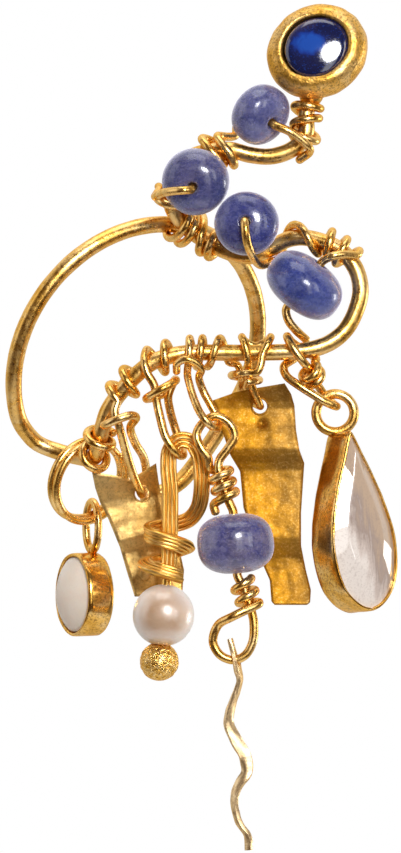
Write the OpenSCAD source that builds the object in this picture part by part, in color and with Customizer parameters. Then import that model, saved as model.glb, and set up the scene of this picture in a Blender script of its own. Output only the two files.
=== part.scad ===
// A hoop earring of one long wire, with wound beads and hanging charms.
// +X to the right, +Y away from the viewer, +Z up, millimetres.
// The origin is the top of the hoop, where the ear holds it.

/* [Hoop] */
// Diameter of the hoop's centre line
hoop_d = 17.1; // [16.9:0.1:17.3]
// Diameter of the main wire
main_wire_d = 1.0; // [0.9:0.05:1.0]
// Lean of the hoop's long axis in the front view, in degrees
hoop_lean = 52.5; // [52:0.5:53]
// Turn of the hoop out of the front plane, in degrees
hoop_turn = 38.5; // [38:0.5:39]

/* [Thin wires] */
// Diameter of the wire that is wound and carries the beads
thin_wire_d = 0.48; // [0.4:0.02:0.5]
// Diameter of the wire of the sapphire link
link_wire_d = 0.54; // [0.46:0.02:0.56]
// Clearance between a wire and what it is wound on
wind_gap = 0.05; // [0.04:0.01:0.08]

/* [Stones] */
// Diameter of the cup of the top stone
cup_d = 5.9; // [5.7:0.1:6.1]
// Diameter of the top stone
top_stone_d = 3.8; // [3.5:0.1:3.9]
// Diameter of the drill holes in the beads
bead_hole_d = 0.66; // [0.6:0.02:0.8]
// Diameter of the pearl
pearl_d = 3.75; // [3.4:0.05:3.8]
// Diameter of the white cabochon's cup
cabochon_cup_d = 5.1; // [5.0:0.05:5.2]
// Depth of the white cabochon's cup
cabochon_cup_h = 1.7; // [1.5:0.1:1.8]
// Depth of the crystal's cup
crystal_cup_h = 2.5; // [2.2:0.1:2.6]

/* [Plates] */
// Thickness of the two hammered plates
plate_t = 0.3; // [0.24:0.02:0.34]
// Thickness of the hanging ribbon
ribbon_t = 0.26; // [0.2:0.02:0.3]

/* [Hidden] */
$fn = 48;
eps = 0.01;

GOLD = "#d9a441";
BLUE = "#5661a3";
DEEP_BLUE = "#12308c";
WHITE = "#efe6dc";
CLEAR = "#dfe3e6";

main_r = main_wire_d / 2;
thin_r = thin_wire_d / 2;
link_r = link_wire_d / 2;
wind_r = main_r + thin_r + wind_gap;

// Vectors
function unit(v) = v / norm(v);
function drop_along(v, t) = v - t * (v * t);
TO_VIEWER = [0, -1, 0];

// A smooth curve through hand-set points, with a ring about every step millimetres
function knot(a, b) = sqrt(max(norm(b - a), 0.001));
function spline_at(p, k, t) =
    let (a1 = ((k[1] - t) * p[0] + (t - k[0]) * p[1]) / (k[1] - k[0]),
         a2 = ((k[2] - t) * p[1] + (t - k[1]) * p[2]) / (k[2] - k[1]),
         a3 = ((k[3] - t) * p[2] + (t - k[2]) * p[3]) / (k[3] - k[2]),
         b1 = ((k[2] - t) * a1 + (t - k[0]) * a2) / (k[2] - k[0]),
         b2 = ((k[3] - t) * a2 + (t - k[1]) * a3) / (k[3] - k[1]))
    ((k[2] - t) * b1 + (t - k[1]) * b2) / (k[2] - k[1]);
function smooth(points, step) =
    let (n = len(points),
         p = concat([2 * points[0] - points[1]], points, [2 * points[n - 1] - points[n - 2]]))
    concat(
        [for (i = [1 : n - 1])
            let (q = [p[i - 1], p[i], p[i + 1], p[i + 2]],
                 k1 = knot(q[0], q[1]),
                 k2 = k1 + knot(q[1], q[2]),
                 k3 = k2 + knot(q[2], q[3]),
                 parts = max(1, round(norm(q[2] - q[1]) / step)))
            for (j = [0 : parts - 1])
                spline_at(q, [0, k1, k2, k3], k1 + (k2 - k1) * j / parts)],
        [points[n - 1]]);

// Directions along a route, and a side vector carried along it without twist
function tangents(route) =
    let (n = len(route))
    [for (i = [0 : n - 1]) unit(route[min(i + 1, n - 1)] - route[max(i - 1, 0)])];
function first_side(t) = unit(drop_along(abs(t[1]) > 0.9 ? [1, 0, 0] : [0, -1, 0], t));
function carried_sides(ts, first) =
    [for (i = 0, u = unit(drop_along(first, ts[0]));
          i < len(ts);
          i = i + 1, u = unit(drop_along(u, ts[min(i, len(ts) - 1)])))
        u];

// A closed skin over rings that all have the same number of points
module skin(rings) {
    sides = len(rings[0]);
    count = len(rings);
    walls = [for (i = [0 : count - 2], j = [0 : sides - 1], half = [0, 1])
        let (a = i * sides + j,
             b = i * sides + (j + 1) % sides,
             c = a + sides,
             d = b + sides)
        half == 0 ? [a, b, d] : [a, d, c]];
    start = [[for (j = [sides - 1 : -1 : 0]) j]];
    end = [[for (j = [0 : sides - 1]) (count - 1) * sides + j]];
    polyhedron(points = [for (ring = rings) each ring], faces = concat(walls, start, end), convexity = 10);
}

// A round wire along a dense route; its ends are a little rounded
module wire(route, r, sides) {
    ts = tangents(route);
    us = carried_sides(ts, first_side(ts[0]));
    n = len(route);
    function ring(p, t, u, radius) =
        let (w = cross(t, u))
        [for (j = [0 : sides - 1])
            let (a = -360 * j / sides)
            p + radius * (cos(a) * u + sin(a) * w)];
    skin(concat(
        [ring(route[0] - 0.35 * r * ts[0], ts[0], us[0], 0.6 * r)],
        [for (i = [0 : n - 1]) ring(route[i], ts[i], us[i], r)],
        [ring(route[n - 1] + 0.35 * r * ts[n - 1], ts[n - 1], us[n - 1], 0.6 * r)]));
}

// The point at a place along a line, counted in its points
function station(guide, at) =
    let (i = max(0, min(len(guide) - 2, floor(at))), f = at - i)
    guide[i] * (1 - f) + guide[i + 1] * f;
function nearest(guide, p) =
    let (d = [for (q = guide) norm(q - p)], least = min(d))
    search(least, d)[0];

// The main wire. Round stretch first: the hoop, as angles from its long axis.
hoop_long = [cos(hoop_lean), 0, sin(hoop_lean)];
hoop_short = [-sin(hoop_lean) * cos(hoop_turn), -sin(hoop_turn), cos(hoop_lean) * cos(hoop_turn)];
ear_angle = 35;
hoop_centre = -hoop_d / 2 * (cos(ear_angle) * hoop_long + sin(ear_angle) * hoop_short);
function on_hoop(a) = hoop_centre + hoop_d / 2 * (cos(a) * hoop_long + sin(a) * hoop_short);

//   x     y     z
TAIL = [
    [-0.6, 6.9, -16.7],
    [0.4, 7.2, -16.3],
    [1.5, 7.6, -15.6],
    [2.5, 8.0, -14.4],
    [3.5, 8.3, -13.0]
];
BAR = [
    [-7.9, 0.8, -12.6],
    [-7.2, 1.1, -13.3],
    [-5.9, 1.05, -13.82],
    [-4.8, 0.55, -14.1],
    [-4.05, -0.35, -14.22],
    [-3.7, -1.25, -14.05],
    [-3.5, -2.0, -13.35],
    [-3.25, -2.5, -12.35],
    [-2.85, -2.8, -11.2],
    [-2.1, -2.9, -10.15],
    [-1.2, -3.0, -9.15],
    [-0.15, -3.0, -8.35],
    [1.1, -3.0, -7.95],
    [2.2, -2.9, -7.8],
    [4.0, -2.8, -7.8],
    [6.2, -2.8, -7.8],
    [8.7, -2.8, -7.7]
];
RIGHT_TURN = [
    [9.8, -2.7, -7.5],
    [10.7, -2.5, -7.1],
    [11.5, -2.3, -6.4],
    [12.1, -2.2, -5.3],
    [12.4, -2.1, -4.0],
    [12.1, -2.0, -2.7],
    [11.2, -1.9, -1.6],
    [9.9, -1.7, -1.0]
];
SERPENTINE = [
    [8.7, -1.5, -0.8],
    [7.8, -1.3, -1.0],
    [6.9, -1.2, -1.5],
    [6.0, -1.1, -1.9],
    [5.1, -0.9, -1.9],
    [4.2, -0.6, -1.6],
    [3.4, -0.4, -1.2],
    [2.4, -0.2, -0.6],
    [1.6, -0.3, 0.1],
    [1.0, -0.7, 1.0]
];
LEFT_TURN = [
    [0.9, -1.0, 1.9],
    [1.1, -1.15, 2.7],
    [1.5, -1.2, 3.5],
    [2.2, -1.3, 4.1],
    [3.2, -1.5, 4.4],
    [4.5, -1.8, 4.5],
    [5.7, -1.8, 4.2],
    [6.9, -1.8, 4.1]
];
STEM = [
    [8.0, -1.8, 4.4],
    [8.7, -1.8, 4.9],
    [9.1, -1.8, 5.6],
    [9.1, -1.7, 6.6],
    [9.3, -1.6, 7.6],
    [9.5, -1.7, 8.4]
];
MAIN_ROUTE = concat(
    TAIL, [for (a = [-90 : 15 : 150]) on_hoop(a)], BAR, RIGHT_TURN, SERPENTINE, LEFT_TURN, STEM);
guide_step = 0.2;
GUIDE = smooth(MAIN_ROUTE, guide_step);

// Thin wire wound on the main wire, near a place of it. Angles turn from up, through the viewer's side,
// to down; the route moves pitch along the main wire for each turn, and leans to and fro by lean.
//   place, from, to, pitch, lean, radius up, radius to the viewer
wind_step = 40;
function wound(row) =
    let (mid = nearest(GUIDE, row[0]),
         from = row[1],
         to = row[2],
         count = ceil(abs(to - from) / wind_step))
    [for (i = [0 : count])
        let (a = from + (to - from) * i / count,
             along = row[3] * (a - (from + to) / 2) / 360 + row[4] * cos(a),
             at = mid + along / guide_step,
             t = unit(station(GUIDE, at + 1) - station(GUIDE, at - 1)),
             out = unit(drop_along(TO_VIEWER, t)),
             up = cross(out, t))
        station(GUIDE, at) + cos(a) * row[5] * up + sin(a) * row[6] * out];

// Thin wire wound on the main wire and the hoop behind it together
//   place, angles on the hoop at the start and the end, from, to, pitch
function bound(row) =
    let (mid = nearest(GUIDE, row[0]),
         from = row[2],
         to = row[3],
         count = ceil(abs(to - from) / wind_step))
    [for (i = [0 : count])
        let (a = from + (to - from) * i / count,
             at = mid + row[4] * (a - (from + to) / 2) / 360 / guide_step,
             h = row[1][0] + (row[1][1] - row[1][0]) * i / count,
             t = unit(unit(station(GUIDE, at + 1) - station(GUIDE, at - 1)) + unit(on_hoop(h + 1) - on_hoop(h - 1))),
             apart = drop_along(on_hoop(h) - station(GUIDE, at), t),
             out = -unit(apart),
             up = cross(out, t))
        station(GUIDE, at) + apart / 2 + cos(a) * (wind_r + 0.31) * up
            + sin(a) * (norm(apart) / 2 + wind_r + 0.08) * out];

// Thin wire wound on a straight line
//   place, direction, from, to, pitch, radius across, radius to the viewer
function ringed(row) =
    let (t = unit(row[1]),
         out = unit(drop_along(TO_VIEWER, t)),
         up = cross(out, t),
         from = row[2],
         to = row[3],
         count = ceil(abs(to - from) / wind_step))
    [for (i = [0 : count])
        let (a = from + (to - from) * i / count)
        row[0] + t * row[4] * (a - (from + to) / 2) / 360 + cos(a) * row[5] * up + sin(a) * row[6] * out];

// A wire's list holds points [x, y, z] and rows for wound(), bound() and ringed()
function laid(list) = [for (row = list) each
    is_num(row[0]) ? [row] : is_num(row[1]) ? wound(row) : len(row[1]) == 2 ? bound(row) : ringed(row)];
thin_step = 0.7;
module thin_wire(list) {
    color(GOLD) wire(smooth(laid(list), thin_step), thin_r, 6);
}

// Beads: place, direction of the hole, radius, half length along the hole
BEADS = [
    [[6.33, -2.4, 6.65], [0.61, -0.64, -0.46], 1.88, 1.25],
    [[2.4, -3.4, 2.55], [-0.16, -0.95, -0.28], 2.02, 1.5],
    [[5.5, -4.2, 0.0], [-0.08, -0.99, 0.08], 1.95, 1.5],
    [[9.0, -2.9, -3.7], [0.6, -0.15, 0.78], 2.46, 1.6]
];
// A straight way through a bead's hole, from its far side (1) or its near side (-1)
function through(row, side, beyond) =
    [for (at = [row[3] + beyond, row[3] - 0.2, 0.2 - row[3], -row[3] - beyond])
        row[0] + side * at * unit(row[1])];

// The outline of half a rondelle, from the drill hole round to the drill hole
bead_bulge = 2.5;
function rondelle(r, h, hole_r) =
    concat(
        [[hole_r, -h * 0.97]],
        [for (a = [-72 : 12 : 72])
            [r * pow(cos(a), 2 / bead_bulge), h * sign(a) * pow(abs(sin(a)), 2 / bead_bulge)]],
        [[hole_r, h * 0.97]]);
module along(direction) {
    d = unit(direction);
    rotate([0, acos(d[2]), atan2(d[1], d[0])]) children();
}
module bead(i) {
    row = BEADS[i];
    color(BLUE)
        translate(row[0])
            along(row[1])
                rotate_extrude()
                    polygon(rondelle(row[2], row[3], bead_hole_d / 2));
}

// The thin wire from the neck through the four beads to the bar
BEAD_WIRE = [
    [[9.2, -1.66, 6.98], 1370, 890, 0.76, 0.1, wind_r, wind_r],
    [[9.1, -1.8, 5.4], 850, 170, 1.06, 0.1, wind_r, wind_r],
    [9.3, -2.5, 4.35],
    [9.25, -3.0, 4.65],
    [8.7, -3.3, 5.15],
    [8.05, -3.5, 5.6],
    each through(BEADS[0], 1, 0.3),
    [5.3, -0.6, 7.3],
    [5.1, -0.3, 6.7],
    [4.9, -0.4, 6.0],
    [4.8, -0.7, 5.4],
    [[3.9, -1.65, 4.5], -15, 590, -0.9, -0.8, 0.88, 0.84],
    [3.3, -0.6, 3.5],
    [3.1, -0.9, 3.25],
    each through(BEADS[1], -1, 0.3),
    [1.7, -5.4, 2.0],
    [1.0, -5.0, 1.95],
    [0.4, -4.2, 1.85],
    [-0.05, -3.0, 1.65],
    [[0.92, -0.93, 1.45], 30, -370, 0.6, 0.35, wind_r, wind_r],
    [0.7, 0.3, 1.35],
    [[1.83, -0.25, -0.17], [24.5, 13], -540, -1340, 0.62],
    [[3.4, -0.4, -1.2], -1380, -2000, 0.6, 0, wind_r, wind_r],
    [4.4, -1.6, -0.6],
    [5.1, -2.0, -0.3],
    each through(BEADS[2], -1, 0.2),
    [5.4, -6.15, -0.4],
    [5.5, -6.0, -1.1],
    [5.75, -5.5, -1.8],
    [6.05, -4.6, -2.3],
    [6.4, -3.4, -2.5],
    [[8.4, -1.4, -0.85], 20, -345, 3.5, 0, wind_r, wind_r],
    [[11.0, -1.9, -1.5], -385, -1310, 0.8, 0, wind_r, wind_r],
    [11.3, -3.3, -1.85],
    [10.7, -3.5, -1.95],
    each through(BEADS[3], 1, 0.25),
    [8.0, -2.6, -5.8],
    [8.45, -2.4, -6.4],
    [9.1, -2.0, -7.0]
];

// The hooks of the charms, wound on the bar
CRYSTAL_HOOK = [
    [8.4, -2.0, -8.15],
    [7.75, -2.7, -8.65],
    [7.9, -3.1, -9.2],
    [8.6, -3.3, -9.75],
    [9.45, -3.35, -10.3],
    [10.2, -3.35, -10.75],
    [10.75, -3.1, -11.0],
    [10.95, -2.6, -11.05],
    [10.7, -2.05, -10.85],
    [10.1, -2.0, -10.2],
    [9.65, -2.4, -9.5],
    [9.35, -2.9, -8.9],
    [8.95, -3.5, -8.4],
    [8.5, -3.65, -7.8],
    [8.05, -3.4, -7.1],
    [7.95, -2.75, -6.8],
    [8.3, -2.0, -7.2],
    [9.35, -1.85, -7.9],
    [9.7, -2.3, -8.15],
    [[9.42, -2.72, -9.1], [0.4, 0.65, -0.65], -20, 540, 0.6, 0.57, 0.57]
];
PLATE_HOOK = [
    [[3.8, -2.8, -7.8], 170, -130, -1.5, 0, 0.88, 0.8],
    [4.9, -1.9, -8.5],
    [5.2, -1.95, -9.2],
    [5.15, -1.0, -10.0],
    [5.6, -0.4, -10.8],
    [6.1, -0.7, -11.15],
    [6.3, -1.2, -11.15],
    [6.3, -1.75, -11.0],
    [6.1, -2.1, -10.5],
    [5.8, -2.4, -9.8],
    [5.6, -2.8, -9.2],
    [5.6, -3.45, -8.5],
    [5.5, -3.65, -7.8],
    [5.3, -3.5, -7.1],
    [5.2, -2.8, -6.85],
    [5.4, -2.05, -7.1],
    [6.0, -1.95, -7.4],
    [6.7, -2.0, -7.1],
    [6.95, -2.7, -6.85],
    [6.8, -3.5, -7.2],
    [6.45, -3.65, -7.9],
    [6.35, -3.8, -8.5],
    [6.1, -3.85, -9.0],
    [[5.42, -2.35, -9.3], [0, 0, -1], 80, 440, 0.56, 0.85, 1.4]
];
LINK_HOOK = [
    [[2.4, -2.9, -7.85], -60, 500, -0.75, 0, 0.88, 0.8],
    [1.9, -3.7, -9.1],
    [2.05, -4.1, -9.8],
    [2.3, -4.6, -10.6],
    [2.65, -5.0, -11.4],
    [3.05, -5.15, -11.95],
    [3.45, -4.85, -12.31],
    [3.75, -4.3, -12.3],
    [3.75, -3.75, -11.85],
    [3.3, -3.55, -10.95],
    [2.85, -3.45, -10.1],
    [2.6, -3.7, -9.3],
    [2.75, -4.1, -8.75],
    [1.9, -4.45, -8.2],
    [1.3, -4.2, -8.45],
    [1.25, -3.8, -8.95]
];
PEARL_HOOK = [
    [[0.44, -3.0, -8.25], -60, 350, -1.09, 0, 0.85, 0.82],
    [-0.7, -3.8, -8.35],
    [-0.55, -3.95, -9.0],
    [-0.1, -3.95, -9.8],
    [0.05, -3.85, -10.8],
    [0.3, -3.9, -11.9],
    [0.55, -4.1, -12.8],
    [0.95, -4.15, -13.5],
    [1.35, -3.9, -13.98],
    [1.63, -3.4, -14.03],
    [1.6, -2.75, -13.7],
    [1.2, -2.6, -12.5],
    [0.85, -2.9, -11.3],
    [0.75, -3.1, -10.4],
    [[0.35, -3.5, -10.1], [0.4, 0, -0.9], -20, 290, 0.62, 1.05, 1.1]
];
SMALL_PLATE_HOOK = [
    [[-1.91, -2.95, -9.86], -60, 460, -1.22, 0, 0.81, 0.82],
    [-2.5, -3.8, -11.4],
    [-2.25, -3.75, -12.2],
    [-1.85, -2.9, -13.7],
    [-1.4, -2.1, -15.15],
    [-1.0, -1.3, -16.1],
    [-0.85, -0.5, -16.4],
    [-0.7, 0.3, -16.0],
    [-0.6, 0.4, -15.2],
    [-0.75, -0.4, -14.2],
    [-1.3, -1.7, -13.2],
    [-1.55, -2.7, -12.3],
    [-1.2, -3.4, -11.75],
    [-1.5, -4.1, -11.6],
    [-2.2, -4.4, -11.8],
    [-2.9, -4.1, -12.1],
    [-3.15, -3.6, -12.2]
];
END_WRAP_FRONT = [
    [[-3.45, -2.15, -12.95], -150, 330, -0.72, 0, 0.82, 0.82]
];
END_WRAP_BACK = [
    [[-3.76, -1.05, -14.07], -60, 400, -0.88, 0, 0.82, 0.82]
];

// Plates: outline in the front view, and the waves of the sheet as height and depth
LARGE_OUTLINE = [
    [3.4, -10.7], [4.8, -10.2], [6.0, -9.95], [7.8, -9.65], [8.2, -10.3], [8.4, -11.0], [8.5, -12.5],
    [8.7, -13.7], [9.0, -14.5], [8.9, -16.0], [8.8, -17.5], [8.8, -19.5], [9.1, -21.0], [9.4, -22.2],
    [9.35, -22.95], [9.15, -23.1], [7.2, -23.1], [7.0, -22.9], [6.9, -21.6], [6.5, -20.7], [6.0, -19.2],
    [5.3, -17.2], [5.1, -15.0], [4.5, -14.0], [3.9, -12.2]
];
LARGE_WAVES = [
    [-9.4, -0.55], [-11.2, 0.1], [-13.6, -0.5], [-14.9, 0.15], [-17.4, -0.3],
    [-19.4, -0.4], [-20.2, 0.1], [-21.8, 0.3], [-23.3, -0.2]
];
large_plate_y = -1.2;
LARGE_HOLE = [6.3, -11.05];
SMALL_OUTLINE = [
    [-3.9, -15.0], [-2.2, -15.3], [-1.6, -15.5], [0.0, -14.5], [0.15, -15.6], [0.5, -17.3], [1.3, -19.2],
    [1.7, -21.0], [1.6, -22.3], [0.2, -22.6], [-1.3, -22.6], [-1.8, -21.0], [-2.2, -19.6], [-2.9, -17.9],
    [-3.4, -16.9], [-3.7, -16.0]
];
SMALL_WAVES = [
    [-14.3, -0.4], [-16.6, 0.3], [-18.6, -0.35], [-19.6, 0.35], [-21.0, 0.1], [-22.8, -0.35]
];
small_plate_y = -0.5;
SMALL_HOLE = [-0.85, -16.35];
plate_hole_d = 0.9;

function flat(points) = [for (p = points) [p[0], p[1], 0]];
function wave_line(waves) = [for (p = smooth(flat(waves), 0.45)) [p[0], p[1]]];
module plate(outline, waves, y, hole) {
    line = wave_line(waves);
    n = len(line);
    sheet = concat(
        [for (p = line) [p[1] + y - plate_t / 2, p[0]]],
        [for (i = [n - 1 : -1 : 0]) [line[i][1] + y + plate_t / 2, line[i][0]]]);
    left = min([for (p = outline) p[0]]) - 1;
    right = max([for (p = outline) p[0]]) + 1;
    difference() {
        intersection() {
            translate([left, 0, 0])
                rotate([90, 0, 90])
                    linear_extrude(right - left)
                        polygon(sheet);
            translate([0, y + 3, 0])
                rotate([90, 0, 0])
                    linear_extrude(6)
                        polygon(outline);
        }
        translate([hole[0], y + 3, hole[1]])
            rotate([90, 0, 0])
                cylinder(h = 6, d = plate_hole_d);
    }
}
module large_plate() {
    color(GOLD) plate(LARGE_OUTLINE, LARGE_WAVES, large_plate_y, LARGE_HOLE);
}
rivet_place = [-0.67, -0.45, -21.27];
module small_plate() {
    color(GOLD) {
        plate(SMALL_OUTLINE, SMALL_WAVES, small_plate_y, SMALL_HOLE);
        translate(rivet_place)
            rotate([90, 0, 0])
                cylinder(h = 0.3, d = 0.75);
    }
}

// The main wire with the bezel cup of the top stone
cup_centre = [9.8, -1.9, 10.42];
cup_front = [-0.11, -0.96, 0.24];
CUP_OUTLINE = [
    [0, -2.0], [1.6, -1.9], [2.5, -1.3], [2.95, -0.3], [3.0, 0.4], [2.8, 1.1], [2.4, 1.5], [2.05, 1.55]
];
cup_seat = 0.2;
neck_place = [9.4, -1.7, 7.75];
// The cup and its stone are a little oval, and the oval leans to the right
cup_long = 1.06;
cup_short = 0.95;
cup_tilt = 30;
module oval() {
    rotate([0, 0, cup_tilt - 90])
        scale([cup_long, cup_short, 1])
            children();
}
module ear_wire() {
    color(GOLD) {
        wire(smooth(MAIN_ROUTE, 0.9), main_r, 12);
        translate(neck_place)
            cylinder(h = 1, r1 = 0.75, r2 = 1.8);
        translate(cup_centre)
            along(cup_front)
                oval() difference() {
                    rotate_extrude()
                        polygon(concat(
                            [for (p = smooth(flat(CUP_OUTLINE), 0.5)) [max(0, p[0]) * cup_d / 6, p[1]]],
                            [[0, 1.55]]));
                    translate([0, 0, cup_seat])
                        cylinder(h = 2, d = top_stone_d + 0.1);
                }
    }
}

// The top stone: a low dome over a faceted lower half
module top_sapphire() {
    r = top_stone_d / 2;
    dome = 0.7;
    girdle = 1.05;
    ball = (r * r + dome * dome) / (2 * dome);
    color(DEEP_BLUE)
        translate(cup_centre)
            along(cup_front)
                translate([0, 0, cup_seat + 0.02])
                    oval() {
                        cylinder(h = girdle - 0.4, r1 = 0.45 * r, r2 = r - 0.02, $fn = 12);
                        intersection() {
                            translate([0, 0, girdle - 0.4 - eps])
                                cylinder(h = 3, r = r);
                            translate([0, 0, girdle + dome - ball])
                                sphere(r = ball);
                        }
                    }
}

// The reeded band of the pearl drop: up the stem, round the eye and twice round the stem
BAND = [
    [0.7, -3.4, -21.55],
    [0.8, -3.4, -20.0],
    [0.85, -3.4, -18.0],
    [0.85, -3.4, -16.0],
    [0.75, -3.4, -14.7],
    [0.85, -3.4, -13.7],
    [1.4, -3.4, -13.1],
    [2.1, -3.4, -13.2],
    [2.6, -3.4, -13.9],
    [2.85, -3.4, -14.9],
    [2.9, -3.35, -16.2],
    [2.6, -3.1, -17.2],
    [2.0, -2.75, -17.9]
];
BAND_TURNS = [[0.65, -3.4, -19.75], [-0.05, 0, -1], 285, -320, -1.85, 1.25, 0.85];
band_w = 1.0;
band_t = 0.42;
function band_section() = [
    [-0.5, -0.2], [-0.25, -0.5], [0.25, -0.5], [0.5, -0.2],
    [0.5, 0.2], [0.25, 0.5], [-0.25, 0.5], [-0.5, 0.2]
];
pearl_centre = [0.45, -3.4, -23.7];
ball_centre = [0.2, -3.4, -26.5];
ball_d = 2.35;
pin_d = 0.6;
module pearl_stem() {
    route = smooth(concat(BAND, ringed(BAND_TURNS)), 0.55);
    ts = tangents(route);
    us = carried_sides(ts, TO_VIEWER);
    axis = ball_centre - pearl_centre;
    color(GOLD) {
        skin([for (i = [0 : len(route) - 1])
            let (w = cross(ts[i], us[i]))
            [for (p = band_section()) route[i] + p[0] * band_w * w + p[1] * band_t * us[i]]]);
        translate(ball_centre)
            sphere(d = ball_d);
        translate(ball_centre)
            along(-axis)
                cylinder(h = 5.6, d = pin_d);
    }
}
module pearl() {
    axis = ball_centre - pearl_centre;
    color(WHITE)
        translate(pearl_centre)
            along(axis)
                difference() {
                    sphere(d = pearl_d);
                    cylinder(h = 5, d = pin_d + 0.06, center = true);
                    translate([0, 0, norm(axis)])
                        sphere(d = ball_d + 0.08);
                }
}

// The sapphire link: eye, core through the bead, lower loop, and both ends wound on the core
link_y = -4.4;
LINK_BEAD = [[4.8, link_y, -19.35], [0.07, 0, -1], 2.33, 1.82];
link_wind_r = 2 * link_r + wind_gap;
LINK_WIRE = [
    [3.6, link_y + 0.1, -17.45],
    [3.5, link_y + 0.05, -17.0],
    [[4.08, link_y - 0.03, -15.8], [0.27, 0, -1], 160, -790, 0.66, 0.61, 0.61],
    [3.25, link_y + 0.45, -14.8],
    [3.15, link_y - 0.1, -14.15],
    [2.75, link_y - 0.15, -13.6],
    [2.45, link_y, -12.8],
    [2.85, link_y, -12.05],
    [3.6, link_y, -11.7],
    [4.4, link_y, -12.05],
    [4.75, link_y, -12.9],
    [4.35, link_y, -13.6],
    [3.85, link_y, -14.3],
    [3.77, link_y - 0.03, -14.8],
    [3.87, link_y - 0.03, -15.3],
    [4.12, link_y - 0.03, -16.1],
    [4.45, link_y, -16.9],
    each through(LINK_BEAD, -1, 0.15),
    [5.3, link_y, -22.0],
    [5.6, link_y, -22.9],
    [5.82, link_y, -23.6],
    [5.92, link_y, -24.2],
    [5.85, link_y, -25.3],
    [5.4, link_y, -26.1],
    [4.7, link_y, -26.4],
    [3.9, link_y, -26.1],
    [3.45, link_y, -25.3],
    [3.75, link_y - 0.2, -24.3],
    [4.65, link_y - 0.85, -23.75],
    [[5.45, link_y, -22.4], [-0.33, 0, 1], 150, 900, 0.78, link_wind_r, link_wind_r]
];
module link_wire() {
    color(GOLD) wire(smooth(laid(LINK_WIRE), 0.7), link_r, 6);
}
module link_bead() {
    color(BLUE)
        translate(LINK_BEAD[0])
            along(LINK_BEAD[1])
                rotate_extrude()
                    polygon(rondelle(LINK_BEAD[2], LINK_BEAD[3], bead_hole_d / 2));
}

// The ribbon: centre line, width, and turn of its flat side from facing the viewer
//   x, y, z, width, turn
RIBBON = [
    [4.5, -4.4, -25.1, 0.4, 78],
    [4.65, -4.4, -25.7, 1.0, 78],
    [4.85, -4.4, -26.4, 1.45, 78],
    [5.0, -4.4, -27.0, 0.9, 78],
    [5.1, -4.4, -27.6, 0.7, 50],
    [4.95, -4.4, -28.2, 0.8, 15],
    [4.62, -4.4, -29.1, 0.75, 0],
    [4.42, -4.4, -30.2, 0.5, -50],
    [4.9, -4.4, -31.3, 0.5, -60],
    [5.42, -4.4, -32.3, 0.5, -40],
    [5.5, -4.4, -33.1, 0.5, 0],
    [4.95, -4.4, -34.0, 0.6, 20],
    [4.73, -4.4, -34.9, 0.5, 45],
    [4.94, -4.4, -36.1, 0.55, 45],
    [5.5, -4.4, -37.0, 0.5, 20],
    [5.6, -4.4, -37.9, 0.5, 0]
];
ribbon_hole_d = 0.9;
module ribbon() {
    places = smooth([for (r = RIBBON) [r[0], r[1], r[2]]], 1.2);
    sizes = smooth([for (r = RIBBON) [r[3], r[4] / 20, r[2]]], 1.2);
    ts = tangents(places);
    count = min(len(places), len(sizes));
    color(GOLD)
        difference() {
            skin([for (i = [0 : count - 1])
                let (turn = 20 * sizes[i][1],
                     side = unit(drop_along([cos(turn), sin(turn), 0], ts[i])),
                     face = cross(ts[i], side),
                     w = sizes[i][0] / 2,
                     t = ribbon_t / 2)
                [for (p = [[-w, -t], [-w, t], [w, t], [w, -t]]) places[i] + p[0] * side + p[1] * face]]);
            translate([4.7 - 3, link_y, -26.4])
                rotate([0, 90, 0])
                    cylinder(h = 6, d = ribbon_hole_d);
        }
}

// The crystal drop: outline of the cup's face, seen square on, from the tip round to the left
crystal_turn = 33;
crystal_lean = -7;
crystal_centre = [11.8, -3.38, -17.95];
CRYSTAL_OUTLINE = [
    [0.0, 5.4], [-0.8, 3.8], [-1.65, 1.7], [-2.25, -0.5], [-2.35, -2.3], [-1.95, -4.1], [-1.0, -5.25],
    [0.0, -5.6], [1.0, -5.25], [1.95, -4.1], [2.35, -2.3], [2.25, -0.5], [1.65, 1.7], [0.8, 3.8]
];
function rounded(points, step) =
    let (n = len(points))
    [for (i = [0 : n - 1])
        let (a = points[(i + n - 1) % n], b = points[i], c = points[(i + 1) % n], d = points[(i + 2) % n],
             parts = max(1, round(norm(c - b) / step)))
        for (j = [0 : parts - 1])
            let (t = j / parts)
            0.5 * (2 * b + (c - a) * t + (2 * a - 5 * b + 4 * c - d) * t * t
                + (3 * b - a - 3 * c + d) * t * t * t)];
function scaled(points, sx, sy) = [for (p = points) [p[0] * sx, p[1] * sy]];
ring_centre = [10.85, -2.6, -11.45];
ring_r = 1.15;
ring_wire_r = 0.3;
module crystal_frame() {
    translate(crystal_centre)
        rotate([0, crystal_lean, 0])
            rotate([90, 0, crystal_turn])
                children();
}
module crystal_setting() {
    outline = rounded(CRYSTAL_OUTLINE, 1.1);
    color(GOLD) {
        crystal_frame()
            difference() {
                translate([0, 0, -crystal_cup_h / 2])
                    linear_extrude(crystal_cup_h)
                        polygon(outline);
                translate([0, 0, -crystal_cup_h / 2 + 0.6])
                    linear_extrude(crystal_cup_h)
                        polygon(scaled(outline, 0.91, 0.95));
            }
        translate(ring_centre)
            rotate([90, 0, 0])
                rotate_extrude()
                    translate([ring_r, 0])
                        circle(r = ring_wire_r, $fn = 16);
    }
}
// A table, a sloping ring of facets and a girdle
module crystal() {
    outline = rounded(CRYSTAL_OUTLINE, 1.6);
    function level(s, h) = [for (p = outline) [p[0] * s, p[1] * (s + 0.05), h]];
    back = -crystal_cup_h / 2 + 0.65;
    color(CLEAR)
        crystal_frame()
            skin([level(0.62, 1.65), level(0.87, 1.15), level(0.87, back + 0.6), level(0.6, back)]);
}

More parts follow.
